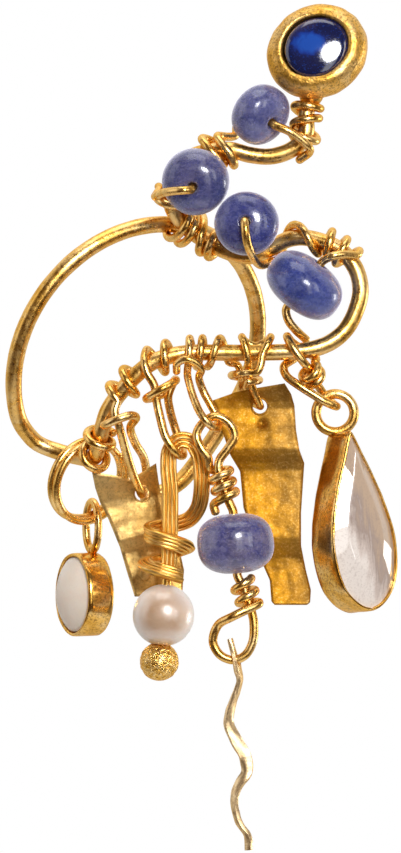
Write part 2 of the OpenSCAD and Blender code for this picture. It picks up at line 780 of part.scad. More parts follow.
// The jump ring of two turns
oval_centre = [-4.15, 0.94, -15.6];
oval_r = 2.45;
oval_wire_r = 0.25;
oval_long = [0.5, 0, 0.87];
oval_short = [0.657, 0.656, -0.377];
module oval_ring() {
    normal = cross(oval_long, oval_short);
    color(GOLD)
        wire(
            [for (a = [20 : 15 : 725])
                oval_centre + oval_r * (cos(a) * oval_long + sin(a) * oval_short)
                    + 0.54 * (a - 372) / 360 * normal],
            oval_wire_r, 6);
}

// The white cabochon's cup with its bail
cabochon_centre = [-4.35, 1.9, -22.5];
cabochon_front = [-0.906, -0.423, 0];
bail_centre = [-3.9, 2.15, -18.35];
bail_turn = 115;
BAIL_HALF = [0.9, 1.5];
bail_r = 0.24;
module cabochon_setting() {
    color(GOLD) {
        translate(cabochon_centre)
            along(cabochon_front)
                difference() {
                    translate([0, 0, -cabochon_cup_h / 2])
                        cylinder(h = cabochon_cup_h, d = cabochon_cup_d);
                    translate([0, 0, -cabochon_cup_h / 2 + 0.5])
                        cylinder(h = cabochon_cup_h, d = cabochon_cup_d - 0.5);
                }
        translate(bail_centre)
            rotate([0, 0, bail_turn])
                wire(
                    [for (a = [-80 : 20 : 260]) [BAIL_HALF[0] * cos(a), 0, BAIL_HALF[1] * sin(a)]],
                    bail_r, 8);
    }
}
module cabochon() {
    r = cabochon_cup_d / 2 - 0.29;
    dome = 0.85;
    ball = (r * r + dome * dome) / (2 * dome);
    color(WHITE)
        translate(cabochon_centre)
            along(cabochon_front)
                intersection() {
                    translate([0, 0, -cabochon_cup_h / 2 + 0.52])
                        cylinder(h = 3, r = r);
                    translate([0, 0, cabochon_cup_h / 2 + dome - 0.1 - ball])
                        sphere(r = ball);
                }
}

ear_wire();
top_sapphire();
bead(0);  // bead_1
bead(1);  // bead_2
bead(2);  // bead_3
bead(3);  // bead_4
thin_wire(BEAD_WIRE);  // bead_wire
thin_wire(CRYSTAL_HOOK);  // crystal_hook
thin_wire(PLATE_HOOK);  // plate_hook
thin_wire(LINK_HOOK);  // link_hook
thin_wire(PEARL_HOOK);  // pearl_hook
thin_wire(SMALL_PLATE_HOOK);  // small_plate_hook
thin_wire(END_WRAP_FRONT);  // end_wrap_front
thin_wire(END_WRAP_BACK);  // end_wrap_back
large_plate();
small_plate();
pearl_stem();
pearl();
link_wire();
link_bead();
ribbon();
crystal_setting();
crystal();
oval_ring();
cabochon_setting();
cabochon();
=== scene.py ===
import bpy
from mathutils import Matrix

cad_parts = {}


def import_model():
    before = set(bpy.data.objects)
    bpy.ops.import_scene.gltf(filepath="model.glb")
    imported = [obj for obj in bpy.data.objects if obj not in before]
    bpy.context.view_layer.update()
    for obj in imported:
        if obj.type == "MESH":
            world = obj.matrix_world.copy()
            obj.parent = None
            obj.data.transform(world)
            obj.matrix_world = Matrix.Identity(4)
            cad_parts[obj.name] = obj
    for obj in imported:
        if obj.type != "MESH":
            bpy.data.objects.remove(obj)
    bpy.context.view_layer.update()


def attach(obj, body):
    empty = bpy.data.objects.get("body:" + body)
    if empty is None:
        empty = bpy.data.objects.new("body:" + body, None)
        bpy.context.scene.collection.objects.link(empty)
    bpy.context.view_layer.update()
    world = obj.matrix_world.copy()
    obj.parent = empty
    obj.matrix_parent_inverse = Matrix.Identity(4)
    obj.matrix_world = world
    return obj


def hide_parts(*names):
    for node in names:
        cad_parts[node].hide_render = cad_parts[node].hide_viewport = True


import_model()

import math

import bpy
from mathutils import Vector, noise

# Lengths are in millimetres, as in the part's source, and MM turns them into metres
MM = 0.001
TO_VIEWER = Vector((0, -1, 0))

# Sizes that the part's source names too
main_r = 0.5
thin_r = 0.24
link_r = 0.27
wind_gap = 0.05
wind_r = main_r + thin_r + wind_gap
# Most thin wires are drawn a little thicker than in the source, which leaves a gap beside each of them
thin_look_r = 0.26


# Vectors and routes, as in the part's source


def V(*xyz):
    return Vector(xyz)


def drop_along(v, t):
    return v - t * v.dot(t)


def unit(v):
    return v.normalized()


def knot(a, b):
    return math.sqrt(max((b - a).length, 0.001))


def spline_at(p, k, t):
    a1 = ((k[1] - t) * p[0] + (t - k[0]) * p[1]) / (k[1] - k[0])
    a2 = ((k[2] - t) * p[1] + (t - k[1]) * p[2]) / (k[2] - k[1])
    a3 = ((k[3] - t) * p[2] + (t - k[2]) * p[3]) / (k[3] - k[2])
    b1 = ((k[2] - t) * a1 + (t - k[0]) * a2) / (k[2] - k[0])
    b2 = ((k[3] - t) * a2 + (t - k[1]) * a3) / (k[3] - k[1])
    return ((k[2] - t) * b1 + (t - k[1]) * b2) / (k[2] - k[1])


def smooth(points, step):
    """A smooth curve through the points, with one about every step millimetres."""
    points = [Vector(q) for q in points]
    p = [2 * points[0] - points[1], *points, 2 * points[-1] - points[-2]]
    made = []
    for i in range(1, len(points)):
        q = p[i - 1 : i + 3]
        k1 = knot(q[0], q[1])
        k2 = k1 + knot(q[1], q[2])
        k3 = k2 + knot(q[2], q[3])
        parts = max(1, round((q[2] - q[1]).length / step))
        made += [spline_at(q, (0, k1, k2, k3), k1 + (k2 - k1) * j / parts) for j in range(parts)]
    return made + [points[-1]]


def tangents(route):
    last = len(route) - 1
    return [unit(route[min(i + 1, last)] - route[max(i - 1, 0)]) for i in range(last + 1)]


def carried_sides(ts, first):
    sides = [unit(drop_along(first, ts[0]))]
    for t in ts[1:]:
        sides.append(unit(drop_along(sides[-1], t)))
    return sides


# Meshes


def link(obj):
    bpy.context.scene.collection.objects.link(obj)
    return obj


def mesh_object(name, points, faces, places=None, sharp=None):
    """A mesh object from points in millimetres; places are the corners' map coordinates."""
    mesh = bpy.data.meshes.new(name)
    mesh.from_pydata([p * MM for p in points], [], faces)
    if places:
        layer = mesh.uv_layers.new(name="Along")
        layer.uv.foreach_set("vector", [c for place in places for c in place])
    mesh.polygons.foreach_set("use_smooth", [True] * len(faces))
    if sharp:
        mesh.set_sharp_from_angle(angle=math.radians(sharp))
    mesh.update()
    return link(bpy.data.objects.new(name, mesh))


def skin(name, rings, along, loop=False, sharp=None):
    """A skin over closed rings; both ends are closed with a point, or the last ring meets the first."""
    sides = len(rings[0])
    count = len(rings)
    points = [p for ring in rings for p in ring]
    faces, places = [], []
    for i in range(count if loop else count - 1):
        k = (i + 1) % count
        for j in range(sides):
            n = (j + 1) % sides
            faces.append((i * sides + j, i * sides + n, k * sides + n, k * sides + j))
            u0, u1 = j / sides, (j + 1) / sides
            v0, v1 = along[i], along[k] if k else along[i] + 0.1
            places += [(u0, v0), (u1, v0), (u1, v1), (u0, v1)]
    if not loop:
        for ring, base, order in ((rings[0], 0, -1), (rings[-1], (count - 1) * sides, 1)):
            pole = len(points)
            points.append(sum(ring, Vector()) / sides)
            v = along[0] if order < 0 else along[-1]
            for j in range(sides):
                n = (j + 1) % sides
                faces.append((base + j, base + n, pole) if order > 0 else (base + n, base + j, pole))
                places += [(j / sides, v), ((j + 1) / sides, v), ((j + 0.5) / sides, v)]
    return mesh_object(name, points, faces, places, sharp)


def lengths(route):
    made = [0.0]
    for a, b in zip(route, route[1:]):
        made.append(made[-1] + (b - a).length)
    return made


def angles_round(count, closed=False):
    """Angles evenly round a circle; a closed round comes back to its first place."""
    return [2 * math.pi * k / count for k in range(count + 1 if closed else count)]


# Share of the wire's radius, and of the dome's height, at each ring of a rounded end
DOME = [(math.sin(a * math.pi / 8), math.cos(a * math.pi / 8)) for a in range(1, 4)]
dome_height = 0.8


def wire(name, route, radius, sides, wobble=0.02):
    """A round wire with rounded ends, whose thickness wavers a little as a hand-drawn one does."""
    ts = tangents(route)
    us = carried_sides(ts, V(1, 0, 0) if abs(ts[0].y) > 0.9 else TO_VIEWER)
    run = lengths(route)

    def ring(p, t, u, r):
        w = t.cross(u)
        return [p + r * (math.cos(a) * u - math.sin(a) * w) for a in angles_round(sides)]

    rings, along = [], []
    for s, c in DOME:
        rings.append(ring(route[0] - c * radius * dome_height * ts[0], ts[0], us[0], s * radius))
        along.append(-c * radius)
    for p, t, u, length in zip(route, ts, us, run):
        # A slow and a quick waver, which differ from wire to wire
        slow = noise.noise(V(length * 0.7, radius * 40, route[0].x))
        quick = noise.noise(V(length * 2.1, 9, radius))
        rings.append(ring(p, t, u, radius * (1 + wobble * (slow + quick))))
        along.append(length)
    for s, c in reversed(DOME):
        rings.append(ring(route[-1] + c * radius * dome_height * ts[-1], ts[-1], us[-1], s * radius))
        along.append(run[-1] + c * radius)
    return skin(name, [list(reversed(r)) for r in rings], along)


def axes_along(direction):
    d = unit(Vector(direction))
    side = unit(drop_along(V(0, 0, 1) if abs(d.z) < 0.9 else V(1, 0, 0), d))
    return side, d.cross(side), d


def lathe(name, profile, centre, direction, segments, uneven=0.0, grain=1.0, loop=False, sharp=None,
          shape=None):
    """A turned form: profile holds (radius, height) pairs, and uneven moves its surface in and out.
    shape changes the round section into another, and takes and gives a direction from the axis."""
    side, other, d = axes_along(direction)
    centre = Vector(centre)
    rings = []
    for r, h in profile:
        ring = []
        for a in angles_round(segments):
            out = math.cos(a) * side + math.sin(a) * other
            if shape:
                out = shape(out)
            p = centre + r * out + h * d
            ring.append(p + out * uneven * noise.noise(p * grain))
        rings.append(ring)
    along = lengths([V(r, h, 0) for r, h in profile])
    return skin(name, rings, along, loop=loop, sharp=sharp)


def rounded_profile(points):
    return [(p.x, p.y) for p in smooth([(x, y, 0) for x, y in points], step=0.1)]


def ball_profile(r, first, steps):
    """A ball's profile from its lower to its upper end, which are open by the first angle."""
    arc = [first + (math.pi - 2 * first) * k / steps for k in range(steps + 1)]
    return [(r * math.sin(a), -r * math.cos(a)) for a in arc]


def drill(obj, place, direction, radius, half, sides):
    """Cuts a round hole through a piece."""
    tool = lathe(obj.name + "_drill", [(radius, -half), (radius, half)], place, direction, sides)
    cut = obj.modifiers.new("hole", "BOOLEAN")
    cut.operation = "DIFFERENCE"
    cut.object = tool
    cut.solver = "EXACT"
    bpy.context.view_layer.update()
    pierced = bpy.data.meshes.new_from_object(obj.evaluated_get(bpy.context.evaluated_depsgraph_get()))
    obj.modifiers.clear()
    obj.data = pierced
    bpy.data.objects.remove(tool)


# Materials


class Nodes:
    """Adds nodes to one tree. A node's input takes a value or another node's output."""

    def __init__(self, tree):
        self.tree = tree
        tree.nodes.clear()
        self.spots = self.add("ShaderNodeTexCoord")

    def add(self, kind, inputs=None, **settings):
        node = self.tree.nodes.new(kind)
        for key, value in settings.items():
            setattr(node, key, value)
        for key, value in (inputs or {}).items():
            self.put(node.inputs[key], value)
        return node

    def put(self, socket, value):
        if isinstance(value, bpy.types.NodeSocket):
            self.tree.links.new(value, socket)
        else:
            socket.default_value = value

    def place(self, scale=(1, 1, 1), shift=(0, 0, 0), kind="Object"):
        """A point of the object in millimetres, or of its map, times the scale and then shifted."""
        scale = [s / MM for s in scale] if kind == "Object" else scale
        inputs = {"Vector": self.spots.outputs[kind], "Scale": scale, "Location": shift}
        return self.add("ShaderNodeMapping", inputs).outputs[0]

    def noise(self, scale, detail=4.0, rough=0.5, bend=0.0, place=None):
        if place is None:
            place = self.place()
        inputs = {"Vector": place, "Scale": scale, "Detail": detail, "Roughness": rough, "Distortion": bend}
        return self.add("ShaderNodeTexNoise", inputs).outputs["Fac"]

    def ramp(self, source, stops):
        """stops are (place, colour or grey) pairs."""
        node = self.add("ShaderNodeValToRGB", {"Fac": source})
        elements = node.color_ramp.elements
        while len(elements) < len(stops):
            elements.new(0.5)
        for element, (place, colour) in zip(elements, stops):
            element.position = place
            element.color = (*colour, 1) if isinstance(colour, tuple) else (colour, colour, colour, 1)
        return node.outputs["Color"]

    def math(self, kind, a, b):
        return self.add("ShaderNodeMath", {0: a, 1: b}, operation=kind).outputs[0]

    def times(self, a, b):
        return self.math("MULTIPLY", a, b)

    def sum(self, total, *parts):
        for part in parts:
            total = self.math("ADD", total, part)
        return total

    def mix(self, share, a, b, kind="MIX"):
        node = self.add("ShaderNodeMix", data_type="RGBA", blend_type=kind)
        self.put(node.inputs["Factor"], share)
        for socket, colour in zip([s for s in node.inputs if s.type == "RGBA"], (a, b)):
            self.put(socket, (*colour, 1) if isinstance(colour, tuple) else colour)
        return next(s for s in node.outputs if s.type == "RGBA")

    def length(self, vector):
        return self.add("ShaderNodeVectorMath", {0: vector}, operation="LENGTH").outputs["Value"]

    def split(self, vector):
        return self.add("ShaderNodeSeparateXYZ", {0: vector}).outputs


class Material(Nodes):
    """One material's shader, with its plain inputs by name, and the nodes round it."""

    def __init__(self, name, **inputs):
        self.material = bpy.data.materials.new(name)
        self.material.use_nodes = True
        super().__init__(self.material.node_tree)
        plain = {key.replace("_", " "): value for key, value in inputs.items()}
        self.shader = self.add("ShaderNodeBsdfPrincipled", plain)
        self.add("ShaderNodeOutputMaterial", {0: self.shader.outputs[0]})
        self.colour = None

    def base(self, source, stops):
        self.colour = self.ramp(source, stops)

    def over(self, source, stops, tint):
        """Lays a tint over the colour so far, as strong as the ramp over the source says."""
        self.colour = self.mix(self.ramp(source, stops), self.colour, tint)

    def rough(self, source, stops):
        self.put(self.shader.inputs["Roughness"], self.ramp(source, stops))

    def finish(self, *bumps):
        """bumps are (height, depth) pairs, each on the one before it, with the depth in millimetres."""
        self.put(self.shader.inputs["Base Color"], self.colour)
        above = self.shader
        for height, depth in reversed(bumps):
            bump = self.add("ShaderNodeBump", {"Strength": 1.0, "Distance": depth * MM, "Height": height})
            self.put(above.inputs["Normal"], bump.outputs[0])
            above = bump
        return self.material


PALE_GOLD = (1.0, 0.70, 0.29)
WARM_GOLD = (0.95, 0.56, 0.12)
DEEP_GOLD = (0.76, 0.40, 0.05)
BROWN = (0.20, 0.085, 0.014)
DULL_GOLD_SKIN = dict(Metallic=1.0, Specular_Tint=(1.0, 0.70, 0.30, 1))
GOLD_SKIN = dict(DULL_GOLD_SKIN, Coat_Weight=0.4, Coat_Roughness=0.2)


def wire_gold(name, polish, line_depth, grain_depth):
    """Drawn wire: fine lines along it, soft blotches of colour, and worn, grainy patches."""
    m = Material(name, **GOLD_SKIN)
    lines = m.noise(1.0, 4, 0.6, place=m.place((22, 0.5, 1), kind="UV"))
    blotches = m.noise(0.6, 3, 0.55)
    grain = m.noise(5.0, 2, 0.6)
    worn = m.noise(1.1, 3, 0.6, 0.6, m.place(shift=(3, 1, 2)))
    m.base(blotches, [(0.35, WARM_GOLD), (0.63, PALE_GOLD)])
    m.over(worn, [(0.38, 0.8), (0.52, 0.0)], DEEP_GOLD)
    m.over(grain, [(0.32, 0.4), (0.44, 0.0)], BROWN)
    m.rough(m.times(worn, grain), [(0.16, polish), (0.36, polish + 0.12)])
    return m.finish((lines, line_depth), (grain, grain_depth))


def cast_gold(name, polish, grain_depth, mark_depth):
    """Worked gold of the cups: soft brown tarnish, a fine even grain, and shallow marks of the hammer."""
    m = Material(name, **GOLD_SKIN)
    tarnish = m.noise(0.7, 4, 0.55, 0.5, m.place(shift=(5, 2, 1)))
    grain = m.noise(7.0, 3, 0.6)
    marks = m.noise(1.3, 3, 0.5)
    m.base(tarnish, [(0.36, DEEP_GOLD), (0.5, WARM_GOLD), (0.66, PALE_GOLD)])
    m.over(grain, [(0.35, 0.7), (0.52, 0.0)], BROWN)
    m.rough(grain, [(0.3, polish + 0.14), (0.65, polish)])
    return m.finish((marks, mark_depth), (grain, grain_depth))


def hammered_gold(name, polish, left, right, middle, spread, lean):
    """Beaten sheet: low soft waves, a fine stipple, and a warmer colour left of its middle line.
    lean is how far that line moves to the left for each millimetre up."""
    m = Material(name, **DULL_GOLD_SKIN)
    waves = m.noise(1.0, 2, 0.5, 0.3, m.place((0.5, 0.5, 1.0)))
    patches = m.noise(0.8, 4, 0.6, 0.5, m.place((0.8, 0.8, 1.4)))
    stipple = m.noise(7.0, 4, 0.7)
    place = m.split(m.place((spread, 1, lean * spread), (-middle * spread, 0, 0)))
    side = m.sum(place[0], place[2], patches)
    m.base(side, [(0.25, left), (0.85, right)])
    m.over(stipple, [(0.34, 0.4), (0.52, 0.0)], BROWN)
    m.over(stipple, [(0.54, 0.0), (0.68, 0.35)], PALE_GOLD)
    m.rough(patches, [(0.35, polish), (0.65, polish + 0.1)])
    return m.finish((waves, 0.04), (stipple, 0.008))


def reeded_gold():
    """Lengthwise streaks from brown to pale: painted shade meant for the grooves, which noise spreads across
    the band's section; the map's first coordinate goes round that section.
    """
    m = Material("reeded_gold", **GOLD_SKIN)
    lines = m.noise(1.0, 4, 0.6, place=m.place((40, 0.5, 1), kind="UV"))
    grain = m.noise(7.0, 4, 0.65)
    # Painted shade: brown streaks along the band, meant for its grooves
    m.base(lines, [(0.33, BROWN), (0.41, DEEP_GOLD), (0.5, WARM_GOLD), (0.62, PALE_GOLD)])
    m.rough(grain, [(0.3, 0.26), (0.7, 0.42)])
    return m.finish((lines, 0.025), (grain, 0.01))


def grained_gold():
    """The ball under the pearl: a bright skin with many small grains."""
    m = Material("grained_gold", **GOLD_SKIN)
    grains = m.noise(5.5, 3, 0.55)
    fine = m.noise(12.0, 3, 0.6)
    m.base(grains, [(0.3, BROWN), (0.38, DEEP_GOLD), (0.47, WARM_GOLD), (0.6, PALE_GOLD)])
    m.rough(grains, [(0.3, 0.24), (0.7, 0.14)])
    return m.finish((grains, 0.14), (fine, 0.015))


def milky_sapphire(name, dark, light, seed):
    """Cloudy blue stone: broad veils and fine pale threads under a polish, with a pale rim."""
    m = Material(
        name, IOR=1.6, Transmission_Weight=0.45, Subsurface_Weight=0.35, Subsurface_Scale=0.6 * MM,
        Subsurface_Radius=(0.45, 0.5, 1.0), Specular_IOR_Level=0.2, Coat_Weight=0.6, Coat_Roughness=0.04,
        Sheen_Weight=1.0, Sheen_Roughness=0.4, Sheen_Tint=(0.75, 0.74, 1.0, 1))
    veils = m.noise(0.5, 5, 0.6, 1.5, m.place(shift=(seed, 2 * seed, 0)))
    threads = m.noise(3.0, 4, 0.65, 1.0, m.place((1, 1, 1.6), (0, seed, seed)))
    specks = m.noise(9.0, 3, 0.7, place=m.place(shift=(0, 0, seed)))

    def shade(colour, share, white=0.0):
        return tuple(white + share * c for c in colour)

    middle = tuple((a + b) / 2 for a, b in zip(dark, light))
    m.base(veils, [(0.38, dark), (0.5, middle), (0.62, light)])
    m.over(threads, [(0.5, 0.0), (0.62, 0.6)], shade(light, 0.8, 0.1))
    m.over(threads, [(0.34, 0.7), (0.46, 0.0)], shade(dark, 0.4))
    m.over(specks, [(0.54, 0.0), (0.68, 0.5)], shade(light, 0.75, 0.25))
    m.over(specks, [(0.34, 0.5), (0.46, 0.0)], shade(dark, 0.6))
    m.rough(threads, [(0.35, 0.2), (0.7, 0.36)])
    return m.finish((veils, 0.015), (specks, 0.0015))


def deep_sapphire():
    """Royal blue stone: a navy body with a bright blue patch of painted light up and left of its middle, and
    a painted purple-grey reflection along its upper left edge.
    """
    m = Material(
        "deep_sapphire", IOR=1.6, Transmission_Weight=0.1, Coat_Weight=1.0, Coat_Roughness=0.05,
        Roughness=0.08)
    # Painted light: bright blue round a spot up and left of the stone's middle, fading to dark navy away from
    # it
    patch = m.length(m.place((0.95, 0.0, 1.45), (-8.85, 0.0, -15.85)))
    wisps = m.noise(1.6, 4, 0.6, 0.6)
    specks = m.noise(9.0, 3, 0.7)
    m.base(m.times(m.sum(patch, wisps), 0.5), [
        (0.56, (0.010, 0.085, 0.48)), (0.7, (0.006, 0.04, 0.30)), (0.76, (0.004, 0.016, 0.12)),
        (0.95, (0.003, 0.010, 0.07))])
    # Painted reflection: a purple-grey tint along the upper left edge
    place = m.split(m.place((0.25, 0.25, 0.25), (-2.1, 0, -2.35)))
    lift = m.math("SUBTRACT", place[2], m.times(place[0], 0.5))
    edge = m.sum(lift, m.times(wisps, 0.35))
    m.over(edge, [(0.62, 0.0), (0.8, 0.8)], (0.045, 0.038, 0.11))
    m.over(specks, [(0.58, 0.0), (0.64, 0.5)], (0.012, 0.07, 0.4))
    return m.finish((specks, 0.003))


def pearl_skin():
    """Nacre: a warm body with a pale sheen on its rim, a broad soft gloss, and a painted amber glow of the
    gold ball on its lowest part, next to the ball.
    """
    m = Material(
        "pearl", IOR=1.7, Specular_IOR_Level=0.8, Coat_Weight=1.0, Coat_IOR=1.8, Coat_Roughness=0.32,
        Subsurface_Weight=0.25, Subsurface_Scale=0.8 * MM, Subsurface_Radius=(1.0, 0.6, 0.4),
        Sheen_Weight=0.4, Sheen_Roughness=0.3)
    clouds = m.noise(0.55, 4, 0.5, 0.8)
    fine = m.noise(4.0, 4, 0.6, place=m.place((1, 1, 2)))
    m.base(clouds, [(0.35, (0.50, 0.31, 0.18)), (0.5, (0.58, 0.40, 0.27)), (0.65, (0.66, 0.50, 0.38))])
    rim = m.add("ShaderNodeLayerWeight", {"Blend": 0.5}).outputs["Facing"]
    m.over(rim, [(0.12, 0.0), (0.5, 1.0)], (0.88, 0.78, 0.71))
    m.over(fine, [(0.34, 0.3), (0.48, 0.0)], (0.66, 0.48, 0.36))
    # Painted light: the gold ball's amber glow on the pearl's lowest part
    height = m.split(m.place(shift=(0, 0, 25.6)))[2]
    painted_ball_glow = m.sum(height, m.times(clouds, 0.4))
    m.over(painted_ball_glow, [(0.1, 0.75), (0.75, 0.0)], (0.80, 0.47, 0.16))
    m.rough(fine, [(0.3, 0.3), (0.7, 0.4)])
    return m.finish((fine, 0.006))


def clear_crystal():
    """Silvery crystal with faint streaks inside and a glossy coat; its colour is painted with reflections and
    shade, white towards the lower left and darker, then brownish, towards the upper right.
    """
    m = Material("crystal", IOR=1.6, Transmission_Weight=0.12, Coat_Weight=1.0, Coat_Roughness=0.07)
    streaks = m.noise(0.7, 4, 0.6, 0.8, m.place((2.2, 2.2, 0.5)))
    specks = m.noise(7.0, 4, 0.7)
    # Painted reflections and shade: white at the lower left, dark grey and then brownish towards the upper
    # right
    place = m.split(m.place((0.2, 1, 0.09), (-2.2, 0, 1.8)))
    painted_shading = m.sum(place[0], place[2], m.times(streaks, 0.7))
    m.base(painted_shading, [
        (0.56, (0.97, 0.90, 0.85)), (0.68, (0.78, 0.68, 0.63)), (0.82, (0.46, 0.37, 0.33)),
        (1.0, (0.62, 0.47, 0.35))])
    m.over(specks, [(0.36, 0.3), (0.5, 0.0)], (0.40, 0.31, 0.28))
    m.rough(specks, [(0.4, 0.1), (0.8, 0.22)])
    return m.finish((streaks, 0.01))


def white_stone():
    """Matt white stone with a faint warm mottle and a dull polish."""
    m = Material(
        "white_stone", IOR=1.5, Subsurface_Weight=0.35, Subsurface_Scale=0.6 * MM,
        Subsurface_Radius=(1.0, 0.7, 0.5), Sheen_Weight=0.5, Sheen_Roughness=0.4)
    clouds = m.noise(0.5, 4, 0.5, 0.5)
    fine = m.noise(9.0, 5, 0.7)
    m.base(clouds, [(0.3, (0.92, 0.77, 0.65)), (0.55, (0.95, 0.83, 0.72)), (0.75, (0.97, 0.88, 0.79))])
    m.over(fine, [(0.34, 0.3), (0.5, 0.0)], (0.78, 0.66, 0.60))
    m.rough(fine, [(0.3, 0.5), (0.7, 0.68)])
    return m.finish((fine, 0.01))


#   name, roughness, depths of the lines and the grain
MAIN_GOLD = wire_gold("main_gold", 0.26, 0.008, 0.011)
THIN_GOLD = wire_gold("thin_gold", 0.21, 0.005, 0.006)
#   name, roughness, depths of the grain and the marks
CUP_GOLD = cast_gold("cup_gold", 0.34, 0.036, 0.07)
NECK_GOLD = cast_gold("neck_gold", 0.28, 0.006, 0.06)
SETTING_GOLD = cast_gold("setting_gold", 0.14, 0.003, 0.005)
#   name, roughness, colours on the left and the right, middle, spread and lean of their border
LARGE_GOLD = hammered_gold("large_plate_gold", 0.5, (0.55, 0.265, 0.018), (0.42, 0.23, 0.045), 4.2, 0.3, 0.19)
SMALL_GOLD = hammered_gold("small_plate_gold", 0.4, (0.86, 0.60, 0.24), (0.80, 0.48, 0.11), -1.0, 0.1, 0.0)
RIBBON_GOLD = hammered_gold("ribbon_gold", 0.34, (1.0, 0.80, 0.50), (0.86, 0.62, 0.34), 5.0, 0.1, 0.0)
REEDED_GOLD = reeded_gold()
GRAINED_GOLD = grained_gold()
DEEP_SAPPHIRE = deep_sapphire()
PEARL = pearl_skin()
CRYSTAL = clear_crystal()
WHITE_STONE = white_stone()


def dress(obj, material, body, slot, *nodes):
    """Gives a piece its material and body, and hides the part's nodes that it stands for; slot is not used.
    """
    obj.data.materials.append(material)
    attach(obj, body)
    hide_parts(*nodes)


# The main wire

hoop_r = 8.55
hoop_lean = math.radians(52.5)
hoop_turn = math.radians(38.5)
hoop_long = V(math.cos(hoop_lean), 0, math.sin(hoop_lean))
hoop_short = V(
    -math.sin(hoop_lean) * math.cos(hoop_turn), -math.sin(hoop_turn),
    math.cos(hoop_lean) * math.cos(hoop_turn))
ear_angle = math.radians(35)
hoop_centre = -hoop_r * (math.cos(ear_angle) * hoop_long + math.sin(ear_angle) * hoop_short)


def on_hoop(degrees):
    a = math.radians(degrees)
    return hoop_centre + hoop_r * (math.cos(a) * hoop_long + math.sin(a) * hoop_short)


#   x     y     z
TAIL = [(-0.6, 6.9, -16.7), (0.4, 7.2, -16.3), (1.5, 7.6, -15.6), (2.5, 8.0, -14.4), (3.5, 8.3, -13.0)]
BAR = [
    (-7.9, 0.8, -12.6), (-7.2, 1.1, -13.3), (-5.9, 1.05, -13.82), (-4.8, 0.55, -14.1), (-4.05, -0.35, -14.22),
    (-3.7, -1.25, -14.05), (-3.5, -2.0, -13.35), (-3.25, -2.5, -12.35), (-2.85, -2.8, -11.2),
    (-2.1, -2.9, -10.15), (-1.2, -3.0, -9.15), (-0.15, -3.0, -8.35), (1.1, -3.0, -7.95), (2.2, -2.9, -7.8),
    (4.0, -2.8, -7.8), (6.2, -2.8, -7.8), (8.7, -2.8, -7.7)]
RIGHT_TURN = [
    (9.8, -2.7, -7.5), (10.7, -2.5, -7.1), (11.5, -2.3, -6.4), (12.1, -2.2, -5.3), (12.4, -2.1, -4.0),
    (12.1, -2.0, -2.7), (11.2, -1.9, -1.6), (9.9, -1.7, -1.0)]
SERPENTINE = [
    (8.7, -1.5, -0.8), (7.8, -1.3, -1.0), (6.9, -1.2, -1.5), (6.0, -1.1, -1.9), (5.1, -0.9, -1.9),
    (4.2, -0.6, -1.6), (3.4, -0.4, -1.2), (2.4, -0.2, -0.6), (1.6, -0.3, 0.1), (1.0, -0.7, 1.0)]
LEFT_TURN = [
    (0.9, -1.0, 1.9), (1.1, -1.15, 2.7), (1.5, -1.2, 3.5), (2.2, -1.3, 4.1), (3.2, -1.5, 4.4),
    (4.5, -1.8, 4.5), (5.7, -1.8, 4.2), (6.9, -1.8, 4.1)]
STEM = [
    (8.0, -1.8, 4.4), (8.7, -1.8, 4.9), (9.1, -1.8, 5.6), (9.1, -1.7, 6.6), (9.3, -1.6, 7.6),
    (9.5, -1.7, 8.4)]
HOOP_ARC = [tuple(on_hoop(a)) for a in range(-90, 151, 15)]
MAIN_ROUTE = TAIL + HOOP_ARC + BAR + RIGHT_TURN + SERPENTINE + LEFT_TURN + STEM
guide_step = 0.2
GUIDE = smooth(MAIN_ROUTE, guide_step)

CUP = (9.8, -1.9, 10.42)
CUP_FRONT = V(-0.11, -0.96, 0.24).normalized()
cup_long = 1.06
cup_short = 0.95
cup_tilt = math.radians(30)
cup_right = V(-CUP_FRONT.y, CUP_FRONT.x, 0).normalized()
CUP_LONG = math.cos(cup_tilt) * cup_right + math.sin(cup_tilt) * CUP_FRONT.cross(cup_right)


def cup_oval(out):
    """The cup and its stone are a little oval, and the oval leans to the right."""
    part = CUP_LONG * out.dot(CUP_LONG)
    return part * cup_long + (out - part) * cup_short


NECK_PLACE = V(9.4, -1.7, 7.75)
NECK_WAY = V(0.05, -0.02, 1)
STONE_FRONT = V(0.0, -0.98, 0.2)
stone_sink = 0.22


def main_wire():
    whole = wire("main_wire", smooth(MAIN_ROUTE, step=0.22), main_r, sides=28)
    dress(whole, MAIN_GOLD, "hoop_body", "gold", "ear_wire")


def top_cup():
    """The cup round the top stone: a fat rounded wall, pressed in over the stone's edge."""
    outside = rounded_profile([
        (0.02, -2.0), (1.55, -1.9), (2.45, -1.3), (2.9, -0.3), (2.96, 0.35), (2.8, 1.0), (2.45, 1.42),
        (2.12, 1.52)])
    inside = [(2.0, 1.47), (1.95, 1.36), (1.925, 1.15), (1.93, 0.4), (1.7, 0.25), (0.02, 0.25)]
    cup = lathe("top_cup", outside + inside, CUP, CUP_FRONT, 160, uneven=0.055, grain=1.3, shape=cup_oval)
    dress(cup, CUP_GOLD, "hoop_body", "gold", "ear_wire")
    neck = rounded_profile([
        (0.02, -0.45), (0.5, -0.42), (0.66, -0.2), (0.74, 0.1), (1.0, 0.45), (1.5, 0.8), (1.95, 1.1),
        (0.02, 1.15)])
    solder = lathe("cup_neck", neck, NECK_PLACE, NECK_WAY, 64, uneven=0.1, grain=1.6)
    dress(solder, NECK_GOLD, "hoop_body", "gold", "ear_wire")


